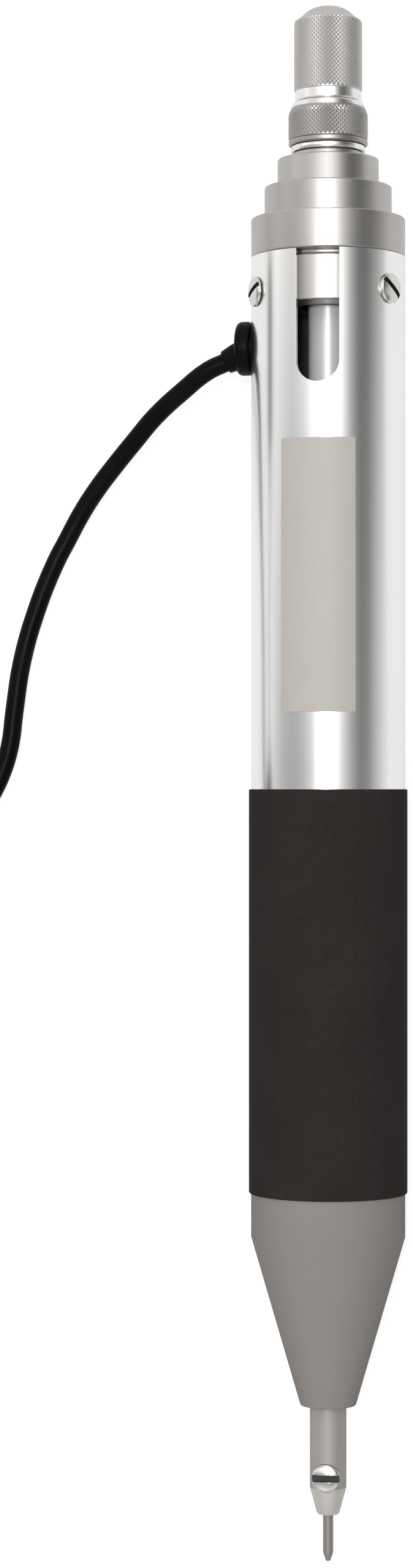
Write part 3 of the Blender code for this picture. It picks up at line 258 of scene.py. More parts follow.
def label_film(name):
    colour = (0.46, 0.437, 0.40)
    made, tree, shader = finish_of(name, colour, 0.55)
    fibres = tree.noise(1400, 4.0, (1, 0.35, 1))
    clouds = tree.noise(90)
    level = (fibres * 0.6 + clouds * 0.4).clamped()
    tree.feed(shader.inputs["Base Color"], tree.mix(level, shade(colour, 0.93), shade(colour, 1.05)))
    tree.feed(shader.inputs["Roughness"], 0.48 + fibres * 0.14)
    tree.feed(shader.inputs["Normal"], tree.bump(fibres, 0.004 * MM))
    return made


def wound_wire(name):
    """Enamelled wire, its turns side by side along the pen, each crest painted lighter and each
    groove between turns painted darker: painted highlight and painted shade.
    """
    colour, pitch = (0.50, 0.20, 0.07), 0.22 * MM
    made, tree, shader = finish_of(name, colour, 0.32, 0.85)
    along = tree.node("ShaderNodeSeparateXYZ", {}, {0: tree.place()})
    turns = (tree.wire(along, "Y") * (math.tau / pitch)).sine()
    # Crests painted lighter, grooves between turns darker: painted highlight and painted shade.
    crests = (turns * 0.5 + 0.5).clamped()
    tree.feed(shader.inputs["Base Color"], tree.mix(crests, shade(colour, 0.5), shade(colour, 1.1)))
    tree.feed(shader.inputs["Normal"], tree.bump(turns, 0.03 * MM))
    return made


def paper(name):
    colour = (0.60, 0.47, 0.30)
    made, tree, shader = finish_of(name, colour, 0.8)
    fibres = tree.noise(900, 4.0, (1, 0.3, 1))
    tree.feed(shader.inputs["Base Color"], tree.mix(fibres, shade(colour, 0.8), shade(colour, 1.1)))
    tree.feed(shader.inputs["Roughness"], 0.7 + fibres * 0.2)
    return made


# How a metal's marks run: the same every way, along the pen, or round it.
EVEN = (1, 1, 1)
DRAWN = (1, 0.02, 1)
GROUND = (1, 0.1, 1)
TURNED = (0.05, 1, 0.05)
FINE_TURNED = (0.04, 1, 0.04)


def even(name, colour, roughness, spread, **more):
    """Metal with marks that are the same every way."""
    return metal(name, colour, roughness, spread, EVEN, **more)


def turned(name, colour, roughness, spread, scale=3000, relief=0.002, **more):
    """Metal with turning marks, their depth in millimetres."""
    return metal(name, colour, roughness, spread, TURNED, relief * MM, scale, **more)


LOOKS = {
    "chrome": metal("drawn_chrome", (0.93, 0.925, 0.915), 0.22, 0.03, DRAWN),
    # The barrel's bore: dull metal whose near-black colour is painted shade inside the tube.
    "bore": turned("dull_bore_painted_shade", (0.10, 0.095, 0.09), 0.55, 0.06),
    "cap": metal("turned_nickel", (0.50, 0.482, 0.464), 0.36, 0.05, FINE_TURNED, 0.002 * MM, 4000),
    "rim": metal("bright_nickel", (0.90, 0.89, 0.88), 0.24, 0.04, FINE_TURNED, 0.001 * MM, 4000),
    "knurl": even("knurled_nickel", (0.59, 0.57, 0.55), 0.42, 0.05),
    "nut": even("dull_knurled_nickel", (0.43, 0.415, 0.40), 0.42, 0.05),
    "nose": turned("satin_grey_alloy", (0.264, 0.243, 0.228), 0.55, 0.06, metallic=0.0, gloss=0.06),
    "holder": turned("satin_steel", (0.38, 0.362, 0.345), 0.5, 0.05, metallic=0.35, gloss=0.1),
    "taper": turned("ground_steel", (0.56, 0.535, 0.51), 0.42, 0.05, metallic=0.35, gloss=0.2),
    "steel": even("bright_steel", (0.72, 0.71, 0.69), 0.22, 0.04),
    # The faces inside a screw's slot, near black: painted shade in the slot.
    "slot_shade": even("painted_shade_in_slot", (0.07, 0.066, 0.062), 0.6, 0.1, relief=0.004 * MM),
    "rod": metal("white_plating", (0.95, 0.94, 0.93), 0.36, 0.05, GROUND, metallic=0.15),
    "needle": metal("hard_steel", (0.30, 0.285, 0.275), 0.42, 0.05, GROUND, metallic=0.6),
    "iron": turned("soft_iron", (0.30, 0.29, 0.28), 0.45, 0.08, 2500, 0.003),
    "brass": turned("turned_brass", (0.72, 0.53, 0.24), 0.26, 0.05, 2500),
    "foam": foam("black_foam"),
    "rubber": rubber("black_rubber", (0.003, 0.0028, 0.003), 0.36, 0.06),
    "plastic": rubber("black_plastic", (0.010, 0.010, 0.011), 0.45, 0.3),
    "label": label_film("bare_label"),
    "copper": wound_wire("enamelled_copper"),
    "paper": paper("insulating_paper"),
}


# Modelling, as by hand


def only(piece):
    """Nothing but this piece is selected, in object mode."""
    if bpy.context.object and bpy.context.object.mode == "EDIT":
        bpy.ops.object.mode_set(mode="OBJECT")
    bpy.ops.object.select_all(action="DESELECT")
    if piece:
        piece.select_set(True)
        bpy.context.view_layer.objects.active = piece


def turn(name, profile, around=AROUND):
    """A turned shape along Z from (radius, height) points: a circle, extruded and scaled
    from each to the next. A radius of 0 closes it at the centre; otherwise it is a ring."""
    only(None)
    solid = profile[0][0] == 0
    radius, height = profile[1] if solid else profile[0]
    bpy.ops.mesh.primitive_circle_add(
        vertices=around,
        radius=radius * MM,
        fill_type="TRIFAN" if solid else "NOTHING",
        location=(0, 0, height * MM),
        enter_editmode=True,
    )
    piece = bpy.context.object
    piece.name = name
    bpy.ops.mesh.select_mode(type="FACE" if solid else "EDGE")
    bpy.ops.mesh.select_all(action="SELECT")
    if solid:
        bpy.ops.mesh.region_to_loop()
    for next_radius, next_height in profile[2 if solid else 1 :]:
        rise = (0, 0, (next_height - height) * MM)
        bpy.ops.mesh.extrude_region_move(TRANSFORM_OT_translate={"value": rise})
        height = next_height
        if next_radius == 0:
            bpy.ops.mesh.merge(type="CENTER")
            break
        if next_radius != radius:
            grown = next_radius / radius
            centre = (0, 0, height * MM)
            bpy.ops.transform.resize(value=(grown, grown, 1), center_override=centre)
            radius = next_radius
    else:
        bpy.ops.mesh.select_all(action="DESELECT")
        bpy.ops.mesh.select_non_manifold(use_wire=False, use_multi_face=False, use_verts=False)
        bpy.ops.mesh.bridge_edge_loops()
    bpy.ops.mesh.select_all(action="SELECT")
    bpy.ops.mesh.normals_make_consistent(inside=False)
    bpy.ops.object.mode_set(mode="OBJECT")
    bpy.ops.object.transform_apply(location=True, rotation=False, scale=False)
    return piece


def modify(piece, kind, **settings):
    only(piece)
    bpy.ops.object.modifier_add(type=kind)
    modifier = piece.modifiers[-1]
    for name, value in settings.items():
        setattr(modifier, name, value)
    bpy.ops.object.modifier_apply(modifier=modifier.name)


def soften(piece, width, segments=2, angle=32):
    modify(
        piece,
        "BEVEL",
        width=width * MM,
        segments=segments,
        limit_method="ANGLE",
        angle_limit=math.radians(angle),
        use_clamp_overlap=True,
    )


def cut(piece, tool, look=None):
    """Takes the tool's shape out. The cut faces may have a finish of their own: in a screw's slot a
    near-black one, which is painted shade.
    """
    if look:
        piece.data.materials.append(LOOKS["steel"])
        tool.data.materials.append(LOOKS[look])
    mode = "TRANSFER" if look else "INDEX"
    modify(piece, "BOOLEAN", operation="DIFFERENCE", solver="EXACT", material_mode=mode, object=tool)
    bpy.data.objects.remove(tool)


def put(piece, where):
    """Places a piece that was made along Z, with its place in its mesh."""
    only(piece)
    piece.matrix_world = where @ piece.matrix_world
    bpy.ops.object.transform_apply(location=True, rotation=True, scale=True)


def done(piece, look, slot, body, *nodes, angle=30):
    """Smooth but for its sharp edges, with its finish, on its body, for its node."""
    only(piece)
    bpy.ops.object.shade_smooth_by_angle(angle=math.radians(angle))
    modify(piece, "WEIGHTED_NORMAL", keep_sharp=True)
    if not piece.data.materials:
        piece.data.materials.append(None)
    piece.data.materials[0] = LOOKS[look]
    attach(piece, body)
    if nodes:
        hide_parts(*nodes)


def refinish(piece, look, chosen):
    """A second finish on the faces whose centre, in millimetres, is chosen."""
    if len(piece.data.materials) < 2:
        piece.data.materials.append(LOOKS[look])
        piece.data.materials.append(LOOKS[look])
    for face in piece.data.polygons:
        if chosen(face.center / MM):
            face.material_index = 1


def bow(centre_radius, centre_height, radius, rise, first, last, steps):
    """Profile points along an elliptic arc, between two angles in degrees."""
    angles = [math.radians(first + (last - first) * i / steps) for i in range(steps + 1)]
    return [
        (centre_radius + radius * math.cos(a), centre_height + rise * math.sin(a))
        for a in angles
    ]


def block(size, centre):
    """A cube that only cuts."""
    only(None)
    bpy.ops.mesh.primitive_cube_add(size=1, location=[c * MM for c in centre])
    tool = bpy.context.object
    tool.scale = [s * MM for s in size]
    bpy.ops.object.transform_apply(location=True, rotation=False, scale=True)
    return tool


def rod(radius, near, far):
    """A cylinder that only cuts, along Z."""
    only(None)
    bpy.ops.mesh.primitive_cylinder_add(
        vertices=AROUND_SMALL,
        radius=radius * MM,
        depth=(far - near) * MM,
        location=(0, 0, (near + far) / 2 * MM),
    )
    tool = bpy.context.object
    bpy.ops.object.transform_apply(location=True, rotation=False, scale=False)
    return tool


def drill(piece, turned_by, height, radius, floor, far):
    """A hole into the pen's side, from a depth given as its distance from the axis."""
    hole = rod(radius, floor, far)
    put(hole, PEN.inverted() @ radial(turned_by, height))
    cut(piece, hole)


# Barrel and cap, with the window and the screws

GAP = 0.05  # between pieces that seat on each other
BARREL = radius_of("barrel_tube")
BARREL_FOOT, BARREL_TOP = span("barrel_tube")
BARREL_EDGE = 0.03
SKIN = BARREL + GAP  # where what lies on the barrel begins
WALL = 1.0
BORE = BARREL - WALL
SPIGOT = BORE - GAP
WINDOW_HALF = 2.225
WINDOW_FOOT = -13.65
WINDOW_DRAW = 13  # how far its cutter is drawn up, past the barrel's end
OUTSIDE = BARREL + 1  # where what cuts from outside begins
SCREW_DOWN = -3.85
SCREW_HOLE = 1.05
GROMMET_DOWN = -9.2
GROMMET_TURN = -100
GROMMET_HOLE = 1.9
SPINDLE_HOLE = 3.08


def window_cutter():
    """A slot with a round foot: a circle, its upper half drawn up."""
    middle = (WINDOW_FOOT + WINDOW_HALF) * MM
    only(None)
    bpy.ops.mesh.primitive_circle_add(
        vertices=AROUND_SMALL,
        radius=WINDOW_HALF * MM,
        fill_type="NGON",
        location=(0, -BORE / 2 * MM, middle),
        rotation=(math.pi / 2, 0, 0),
    )
    slot = bpy.context.object
    bpy.ops.object.transform_apply(location=True, rotation=True, scale=False)
    bpy.ops.object.mode_set(mode="EDIT")
    bpy.ops.mesh.select_mode(type="VERT")
    bpy.ops.mesh.select_all(action="DESELECT")
    bpy.ops.object.mode_set(mode="OBJECT")
    for corner in slot.data.vertices:
        corner.select = corner.co.z > middle - TOUCH
    bpy.ops.object.mode_set(mode="EDIT")
    bpy.ops.transform.translate(value=(0, 0, WINDOW_DRAW * MM))
    bpy.ops.mesh.select_all(action="SELECT")
    bpy.ops.mesh.extrude_region_move(TRANSFORM_OT_translate={"value": (0, -BARREL * MM, 0)})
    bpy.ops.mesh.select_all(action="SELECT")
    bpy.ops.mesh.normals_make_consistent(inside=False)
    bpy.ops.object.mode_set(mode="OBJECT")
    put(slot, Matrix.Rotation(math.radians(WINDOW_TURN), 4, "Z"))
    return slot


def make_barrel():
    barrel = turn(
        "barrel",
        [
            (BORE, BARREL_FOOT),
            (BARREL, BARREL_FOOT),
            (BARREL, BARREL_TOP - BARREL_EDGE),
            (BARREL - BARREL_EDGE, BARREL_TOP),
            (BORE, BARREL_TOP),
        ],
    )
    cut(barrel, window_cutter())
    for turned_by in SCREW_TURNS:
        drill(barrel, turned_by, SCREW_DOWN, SCREW_HOLE, BORE / 2, OUTSIDE)
    drill(barrel, GROMMET_TURN, GROMMET_DOWN, GROMMET_HOLE, BORE / 2, OUTSIDE)
    # The bore's faces get the near-black finish: painted shade inside the tube.
    refinish(barrel, "bore", lambda centre: centre.xy.length < BORE + 0.2)
    put(barrel, PEN)
    done(barrel, "chrome", "polished_chrome", "pen", "barrel_tube")


def make_end_cap():
    """Three steps and a short boss over a spigot with a groove at its root."""
    spigot_foot, top = span("end_cap")
    groove_foot, seat, low, middle, high = -0.45, 0.03, 4.0, 7.3, 10.2
    groove, middle_radius, high_radius, boss = 6.45, 6.6, 5.25, 3.63
    screw_hole_floor = 4.35
    cap = turn(
        "stepped_cap",
        [
            (SPINDLE_HOLE, spigot_foot),
            (SPIGOT, spigot_foot),
            (SPIGOT, groove_foot),
            (groove, groove_foot),
            (groove, seat),
            (BARREL - 0.02, seat),
            (BARREL, low),
            (middle_radius, low),
            (middle_radius, middle),
            (high_radius, middle),
            (high_radius, high),
            (boss, high),
            (boss, top),
            (SPINDLE_HOLE, top),
        ],
    )
    soften(cap, 0.16, 3)
    for turned_by in SCREW_TURNS:
        drill(cap, turned_by, SCREW_DOWN, SCREW_HOLE, screw_hole_floor, OUTSIDE)
    put(cap, PEN)
    done(cap, "cap", "turned_nickel", "pen", "end_cap")


def slotted(name, shank, tip, seat, head, edge, dome, slot, slot_turn):
    """A dome-head screw along Z, from its tip to its head on the seat. `slot` is the slot's
    width and depth."""
    top = seat + edge + dome
    crown = bow(0, seat + edge, head, dome, 0, 90, 10)[1:-1]
    profile = [(0, tip), (shank, tip), (shank, seat), (head, seat), (head, seat + edge)]
    screw = turn(name, [*profile, *crown, (0, top)], AROUND_SMALL)
    width, depth = slot
    cutter = block((3 * head, width, 2 * depth), (0, 0, top))
    put(cutter, Matrix.Rotation(math.radians(slot_turn), 4, "Z"))
    # The slot's faces get the near-black finish: painted shade.
    cut(screw, cutter, "slot_shade")
    soften(screw, 0.03, 2, 40)
    return screw


def make_cap_screws():
    slot_turns = (25, -35, 60)
    for side, turned_by, slot_turn in zip(("left", "right", "rear"), SCREW_TURNS, slot_turns):
        screw = slotted(
            f"dome_screw_{side}",
            shank=1.0,
            tip=4.4,
            seat=SKIN,
            head=1.55,
            edge=0.15,
            dome=0.35,
            slot=(0.5, 0.32),
            slot_turn=slot_turn,
        )
        put(screw, radial(turned_by, SCREW_DOWN))
        done(screw, "steel", "bright_steel", "pen", f"cap_screw_{side}")


# Knob, lock nut and spindle

KNURL_DEPTH = 0.075
KNURL_ANGLE = 12  # degrees past which a knurl's edges stay sharp


def key(height):
    """A height in millimetres as a whole number, to find its row by."""
    return round(height * 1e4)


def knurled(name, below, band, above, teeth):
    """A turned shape with a diamond knurl. `band` gives its crests' radii and heights, row by
    row, between what lies below and above."""
    near = 0.002 * MM
    widest = max(radius for radius, _ in band)
    sink = 1 - KNURL_DEPTH / widest
    roots = [(radius * sink, height) for radius, height in band]
    piece = turn(name, [*below, *roots, *above], 2 * teeth)
    pitch = math.pi / teeth
    rows = {key(height): row for row, (_, height) in enumerate(band)}
    inside = []
    for corner in piece.data.vertices:
        row = rows.get(key(corner.co.z / MM))
        across = math.hypot(corner.co.x, corner.co.y)
        in_band = row is not None and abs(across - roots[row][0] * MM) < near
        column = round(math.atan2(corner.co.y, corner.co.x) / pitch)
        inside.append(in_band)
        corner.select = in_band and 0 < row < len(band) - 1 and (row + column) % 2 == 1
    for edge in piece.data.edges:
        edge.select = False
    for face in piece.data.polygons:
        face.select = False
    only(piece)
    bpy.ops.object.mode_set(mode="EDIT")
    bpy.ops.mesh.select_mode(type="VERT")
    bpy.ops.transform.resize(value=(1 / sink, 1 / sink, 1), center_override=(0, 0, 0))
    bpy.ops.mesh.select_all(action="DESELECT")
    bpy.ops.mesh.select_mode(type="FACE")
    bpy.ops.object.mode_set(mode="OBJECT")
    for face in piece.data.polygons:
        face.select = all(inside[i] for i in face.vertices)
    bpy.ops.object.mode_set(mode="EDIT")
    bpy.ops.mesh.quads_convert_to_tris(quad_method="SHORTEST_DIAGONAL")
    bpy.ops.object.mode_set(mode="OBJECT")
    return piece


def make_lock_washer():
    foot, top = span("lock_washer")
    radius = radius_of("lock_washer")
    profile = [(SPINDLE_HOLE, foot), (radius, foot), (radius, top), (SPINDLE_HOLE, top)]
    washer = turn("lock_ring", profile, AROUND_MIDDLE)
    soften(washer, 0.08)
    put(washer, PEN)
    done(washer, "rim", "bright_steel", "pen", "lock_washer")


def make_lock_nut():
    """A plain rim, a knurl that rounds in at its top, and a bright upper edge."""
    foot, crest = span("lock_nut")[0], radius_of("lock_nut")
    knurl_foot, row_height, rows = 12.25, 0.226, 12
    edge, top = 15.47, 16.05
    side = [(crest, knurl_foot + row_height * row) for row in range(rows)]
    nut = knurled(
        "knurled_nut",
        [(SPINDLE_HOLE, foot), (3.95, foot), (4.1, 11.75), (4.1, 12.1), (3.98, 12.2)],
        side + [(4.08, 14.96), (4.0, 15.19), (3.92, 15.42)],
        [(3.84, 15.5), (3.72, 15.92), (3.6, top), (SPINDLE_HOLE, top)],
        teeth=60,
    )
    refinish(nut, "rim", lambda centre: centre.z > edge)
    put(nut, PEN)
    done(nut, "nut", "turned_nickel", "nut", "lock_nut", angle=KNURL_ANGLE)


STUD = 1.6
ROD_FOOT, STUD_TOP = span("adjusting_spindle")


def make_knob():
    """A bright rim, a long knurl and a domed end, over the spindle's stud."""
    foot, rim, rim_top, edge = 16.2, 3.42, 17.22, 17.25
    crest = radius_of("adjusting_knob")
    knurl_foot, row_height, rows = 17.3, 0.228, 32
    side = [(crest, knurl_foot + row_height * row) for row in range(rows)]
    crown = [(3.47, 24.55), (3.2, 24.75), (2.9, 24.97), (2.6, 25.21), (2.32, 25.47)]
    crown += [(2.05, 25.67), (1.75, 25.83), (1.45, 25.95)]
    knob = knurled(
        "knurled_knob",
        [
            (0, STUD_TOP + GAP),
            (STUD + GAP, STUD_TOP + GAP),
            (STUD + GAP, foot),
            (rim - 0.12, foot),
            (rim, foot + 0.12),
            (rim, rim_top),
        ],
        side + crown,
        [(1.3, 26.0), (0.95, 26.07), (0.5, 26.1), (0, 26.1)],
        teeth=52,
    )
    refinish(knob, "rim", lambda centre: centre.z < edge)
    put(knob, PEN)
    done(knob, "knurl", "turned_nickel", "knob", "adjusting_knob", angle=KNURL_ANGLE)


def make_spindle():
    """A plain rod, a thread from the cap to the knob, and the knob's stud."""
    rod_radius, root, pitch = 2.05, 2.62, 0.75
    crest = radius_of("adjusting_spindle")
    thread_foot, last_turn, shoulder = -2.45, 15.4, 16.25
    flanks = ((root, 0.08), (crest, 0.33), (crest, 0.42), (root, 0.67))
    thread, height = [], thread_foot
    while height < last_turn:
        thread += [(radius, height + rise) for radius, rise in flanks]
        height += pitch
    spindle = turn(
        "threaded_spindle",
        [
            (0, ROD_FOOT),
            (rod_radius, ROD_FOOT),
            (rod_radius, thread_foot),
            *thread,
            (root, shoulder),
            (STUD, shoulder),
            (STUD, STUD_TOP),
            (0, STUD_TOP),
        ],
        AROUND_MIDDLE,
    )
    put(spindle, PEN)
    done(spindle, "rod", "bright_steel", "knob", "adjusting_spindle")


# Nose, needle holder and needle

CLAMP_DOWN = -126.4


def make_nose():
    """A cone on a short straight base, hollow behind the seat of its guide bush."""
    front, spigot_top = span("nose_cone")
    bush_foot, bush_top, cone_top, shoulder = -112.5, -104.45, -101.6, BARREL_FOOT - GAP
    tip, holder_hole, bush_hole, hollow = 2.88, 2.06, 3.43, 5.55
    nose = turn(
        "nose",
        [
            (holder_hole, front),
            (tip, front),
            (BARREL, cone_top),
            (BARREL, shoulder),
            (SPIGOT, shoulder),
            (SPIGOT, spigot_top),
            (hollow, spigot_top),
            (hollow, bush_top),
            (bush_hole, bush_top),
            (bush_hole, bush_foot),
            (holder_hole, bush_foot),
        ],
    )
    soften(nose, 0.12, 2, 40)
    put(nose, PEN)
    done(nose, "nose", "satin_aluminium", "pen", "nose_cone", angle=20)


def make_needle_holder():
    """A bar with a ground taper, bored for the needle and spot-faced for its screw."""
    front, back = span("needle_holder")
    bar, bore = radius_of("needle_holder"), 0.615
    taper_top, bore_end = -127.6, -117.4
    holder = turn(
        "needle_bar",
        [
            (0, bore_end),
            (bore, bore_end),
            (bore, front),
            (1.05, front),
            (1.2, front + 0.2),
            (bar, taper_top),
            (bar, back),
            (0, back),
        ],
        AROUND_MIDDLE,
    )
    for radius, floor in ((0.83, 0.3), (1.48, 1.3)):
        drill(holder, WINDOW_TURN, CLAMP_DOWN, radius, floor, 4)
    refinish(holder, "taper", lambda centre: centre.z < taper_top)
    put(holder, PEN)
    done(holder, "holder", "satin_steel", "needle_bar", "needle_holder")


def make_clamp_screw():
    screw = slotted(
        "needle_clamp_screw",
        shank=0.75,
        tip=0.62,
        seat=1.35,
        head=1.45,
        edge=0.5,
        dome=0.4,
        slot=(0.72, 0.5),
        slot_turn=0,
    )
    put(screw, radial(WINDOW_TURN, CLAMP_DOWN))
    done(screw, "steel", "bright_steel", "clamp", "clamp_screw")


def make_needle():
    point, back = span("needle")
    radius, taper_top = radius_of("needle"), -134.4
    needle = turn(
        "engraving_needle",
        [
            (0, point),
            (0.2, point),
            (0.27, point + 0.08),
            (radius, taper_top),
            (radius, back),
            (0, back),
        ],
        48,
    )
    put(needle, PEN)
    done(needle, "needle", "bright_steel", "tip", "needle")


def make_return_spring():
    """A wound spring."""
    wire, coil, turns, steps = 0.25, 1.82, 8, 28
    foot, head, seat = -35.65, -20.2, -19.9
    only(None)
    bpy.ops.mesh.primitive_circle_add(
        vertices=12,
        radius=wire * MM,
        location=(coil * MM, 0, foot * MM),
        rotation=(math.pi / 2, 0, 0),
    )
    spring = bpy.context.object
    spring.name = "wound_spring"
    bpy.ops.object.transform_apply(location=True, rotation=True, scale=False)
    modify(
        spring,
        "SCREW",
        screw_offset=(head - foot) / turns * MM,
        iterations=turns,
        steps=steps,
        render_steps=steps,
    )
    bpy.ops.object.mode_set(mode="EDIT")
    bpy.ops.mesh.select_all(action="SELECT")
    bpy.ops.mesh.fill_holes(sides=0)
    bpy.ops.mesh.select_all(action="SELECT")
    bpy.ops.mesh.normals_make_consistent(inside=False)
    bpy.ops.object.mode_set(mode="OBJECT")
    put(spring, PEN)
    done(spring, "steel", "bright_steel", "pen", "return_spring")
    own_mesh(spring)


# Grip and label


def make_grip():
    low, high = span("foam_grip")
    outer = radius_of("foam_grip")
    lip, lip_steps, lengths = 0.14, 4, 8
    grip = turn(
        "foam_sleeve",
        [
            (SKIN, low),
            *bow(outer - lip, low + lip, lip, lip, -90, 0, lip_steps),
            *[(outer, low + (high - low) * i / lengths) for i in range(1, lengths)],
            *bow(outer - lip, high - lip, lip, lip, 0, 90, lip_steps),
            (SKIN, high),
        ],
        192,
    )
    put(grip, PEN)
    done(grip, "foam", "black_foam", "pen", "foam_grip")


def make_label():
    """A strip's end, spun round the barrel."""
    low, high = span("label_plate")
    width, film, steps = 7.8, 0.12, 40
    sweep = width / SKIN
    start = math.radians(WINDOW_TURN) - math.pi / 2 - sweep / 2
    only(None)
    bpy.ops.mesh.primitive_plane_add(size=1, rotation=(math.pi / 2, 0, 0), enter_editmode=False)
    label = bpy.context.object
    label.name = "bare_label_film"
    label.scale = (film * MM, (high - low) * MM, 1)
    label.location = ((SKIN + film / 2) * MM, 0, (low + high) / 2 * MM)
    bpy.ops.object.transform_apply(location=True, rotation=True, scale=True)
    label.rotation_euler = (0, 0, start)
    bpy.ops.object.transform_apply(location=False, rotation=True, scale=False)
    bpy.ops.object.mode_set(mode="EDIT")
    bpy.ops.mesh.select_all(action="SELECT")
    bpy.ops.mesh.spin(steps=steps, angle=-sweep, center=(0, 0, 0), axis=(0, 0, 1))
    bpy.ops.mesh.select_all(action="SELECT")
    bpy.ops.mesh.remove_doubles(threshold=TOUCH)
    bpy.ops.mesh.normals_make_consistent(inside=False)
    bpy.ops.object.mode_set(mode="OBJECT")
    put(label, PEN)
    done(label, "label", "beige_label", "pen", "label_plate")


# Grommet, lead and plug

CORD = 2.0
CORD_HOLE = 1.03


def make_grommet():
    """A round flange on the barrel with a tapered sleeve for the lead. It gives the piece,
    where the lead leaves it and which way."""
    inner_face, neck_foot, seat, top = 5.75, 6.45, SKIN, 9.55
    inner_flange, neck = 2.3, 1.85
    flange = turn(
        "moulded_grommet",
        [
            (0, inner_face),
            (inner_flange, inner_face),
            (inner_flange, neck_foot),
            (neck, neck_foot),
            (neck, seat),
            (2.55, seat),
            *bow(2.5, 8.35, 0.3, 0.3, -90, 0, 4)[1:],
            *bow(2.2, 8.95, 0.6, 0.6, 0, 90, 6),
            (0, top),
        ],
        AROUND_SMALL,
    )
    put(flange, radial(GROMMET_TURN, GROMMET_DOWN))
    length, floor = 2.4, 1.6
    sleeve = turn(
        "sleeve",
        [
            (0, 0),
            (1.5, 0),
            (1.42, 1.2),
            (1.25, 2.2),
            (1.2, length),
            (CORD_HOLE, length),
            (CORD_HOLE, floor),
            (0, floor),
        ],
        AROUND_SMALL,
    )
    swing, tilt = math.radians(GROMMET_TURN), math.radians(24)
    root_out, root_down = 8.6, 9.6
    away = Vector((math.sin(swing), -math.cos(swing), 0))
    way = away * math.cos(tilt) - Vector((0, 0, math.sin(tilt)))
    root = away * root_out * MM - Vector((0, 0, root_down * MM))
    aim = Vector((0, 0, 1)).rotation_difference(way).to_matrix().to_4x4()
    put(sleeve, PEN @ Matrix.Translation(root) @ aim)
    modify(flange, "BOOLEAN", operation="UNION", solver="EXACT", object=sleeve)
    bpy.data.objects.remove(sleeve)
    done(flange, "rubber", "black_rubber", "pen", "cord_grommet")
    out = PEN.to_3x3() @ way
    return flange, PEN @ (root + way * length * MM), out.normalized()


COIL_CENTRE = (-57.0, -15.0)
COIL_MIDDLE = 12.0
COIL_PITCH = 2.47
COIL_LAYERS = 4
LAYER_TURNS = 4.625
TURN_POINTS = 20
CLIMB_HALF = 0.25  # of a turn
LEAD_ROUTE = [
    (-15.15, 41.0, 5.35),
    (-18.0, 38.5, 4.25),
    (-20.2, 36.0, 3.25),
    (-22.3, 33.5, 2.45),
    (-24.25, 31.0, 1.8),
    (-25.95, 28.4, 1.3),
    (-27.35, 25.8, 1.05),
    (-28.7, 23.2, 1.0),
    (-30.75, 18.0, 1.0),
    (-32.2, 12.8, 1.0),
    (-33.0, 7.6, 1.0),
    (-33.5, 3.8, 1.0),
    (-34.5, 0.6, 1.0),
    (-35.9, -2.2, 1.0),
    (-37.4, -5.2, 1.0),
    (-38.5, -8.4, 1.0),
]
TAIL_ROUTE = [
    (-75.35, -7.0, 7.9),
    (-75.9, -3.0, 6.0),
    (-75.9, 1.0, 3.8),
    (-75.4, 5.0, 2.0),
    (-74.5, 9.0, 1.15),
    (-73.3, 13.0, 1.0),
    (-71.6, 17.0, 1.25),
    (-69.8, 21.0, 2.2),
    (-68.2, 25.0, 3.5),
    (-67.2, 28.6, 4.3),
]
plug_low, plug_high = box("plug_body")
PLUG_PLACE = ((plug_low[0] + plug_high[0]) / 2, plug_low[1], (plug_low[2] + plug_high[2]) / 2)


def coil_points():
    """Spirals in and out by turns, one layer on another, clockwise from above."""
    total = COIL_LAYERS * LAYER_TURNS
    count = round(total * TURN_POINTS)
    outer = COIL_MIDDLE + LAYER_TURNS * COIL_PITCH / 2
    points = []
    for i in range(count + 1):
        wound = total * i / count
        layer = min(int(wound / LAYER_TURNS), COIL_LAYERS - 1)
        along = wound - layer * LAYER_TURNS
        radius = outer - COIL_PITCH * (along if layer % 2 == 0 else LAYER_TURNS - along)
        climbed = 0.0
        for reversal in range(1, COIL_LAYERS):
            share = (wound - reversal * LAYER_TURNS + CLIMB_HALF) / (2 * CLIMB_HALF)
            share = min(max(share, 0), 1)
            climbed += share * share * (3 - 2 * share)
        angle = -math.tau * wound
        x = COIL_CENTRE[0] + radius * math.cos(angle)
        y = COIL_CENTRE[1] + radius * math.sin(angle)
        points.append(Vector((x, y, CORD / 2 + COIL_PITCH * climbed)))
    return points


def make_lead(grommet, leaves, way, plug, pin):
    in_sleeve, in_plug = 0.7, 1.1
    into_plug = Vector(PLUG_PLACE)
    start = leaves / MM
    route = [
        start - way * in_sleeve,
        start,
        start + way * CORD,
        *(Vector(point) for point in LEAD_ROUTE),
        *coil_points(),
        *(Vector(point) for point in TAIL_ROUTE),
        into_plug - Vector((0, CORD, 0)),
        into_plug + Vector((0, in_plug, 0)),
    ]
    curve = bpy.data.curves.new("lead", "CURVE")
    curve.dimensions = "3D"
    curve.resolution_u = 4
    curve.bevel_depth = CORD / 2 * MM
    curve.bevel_resolution = 5
    curve.use_fill_caps = True
    spline = curve.splines.new("BEZIER")
    spline.bezier_points.add(len(route) - 1)
    for knot, point in zip(spline.bezier_points, route):
        knot.co = point * MM
        knot.handle_left_type = knot.handle_right_type = "AUTO"
    lead = bpy.data.objects.new("lead", curve)
    bpy.context.collection.objects.link(lead)
    curve.materials.append(LOOKS["rubber"])
    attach(lead, "pen")
    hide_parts("cord_lead", "cord_coil", "cord_tail")


# The plug's own axis: its heights run from where the lead enters it.
PLUG = Matrix.Translation(Vector(PLUG_PLACE) * MM) @ LAID_DOWN
PLUG_RADIUS = radius_of("plug_body")
PLUG_END = plug_high[1] - plug_low[1]
PIN_STEM = 1.5
PIN_HOLE_FLOOR = 22.0


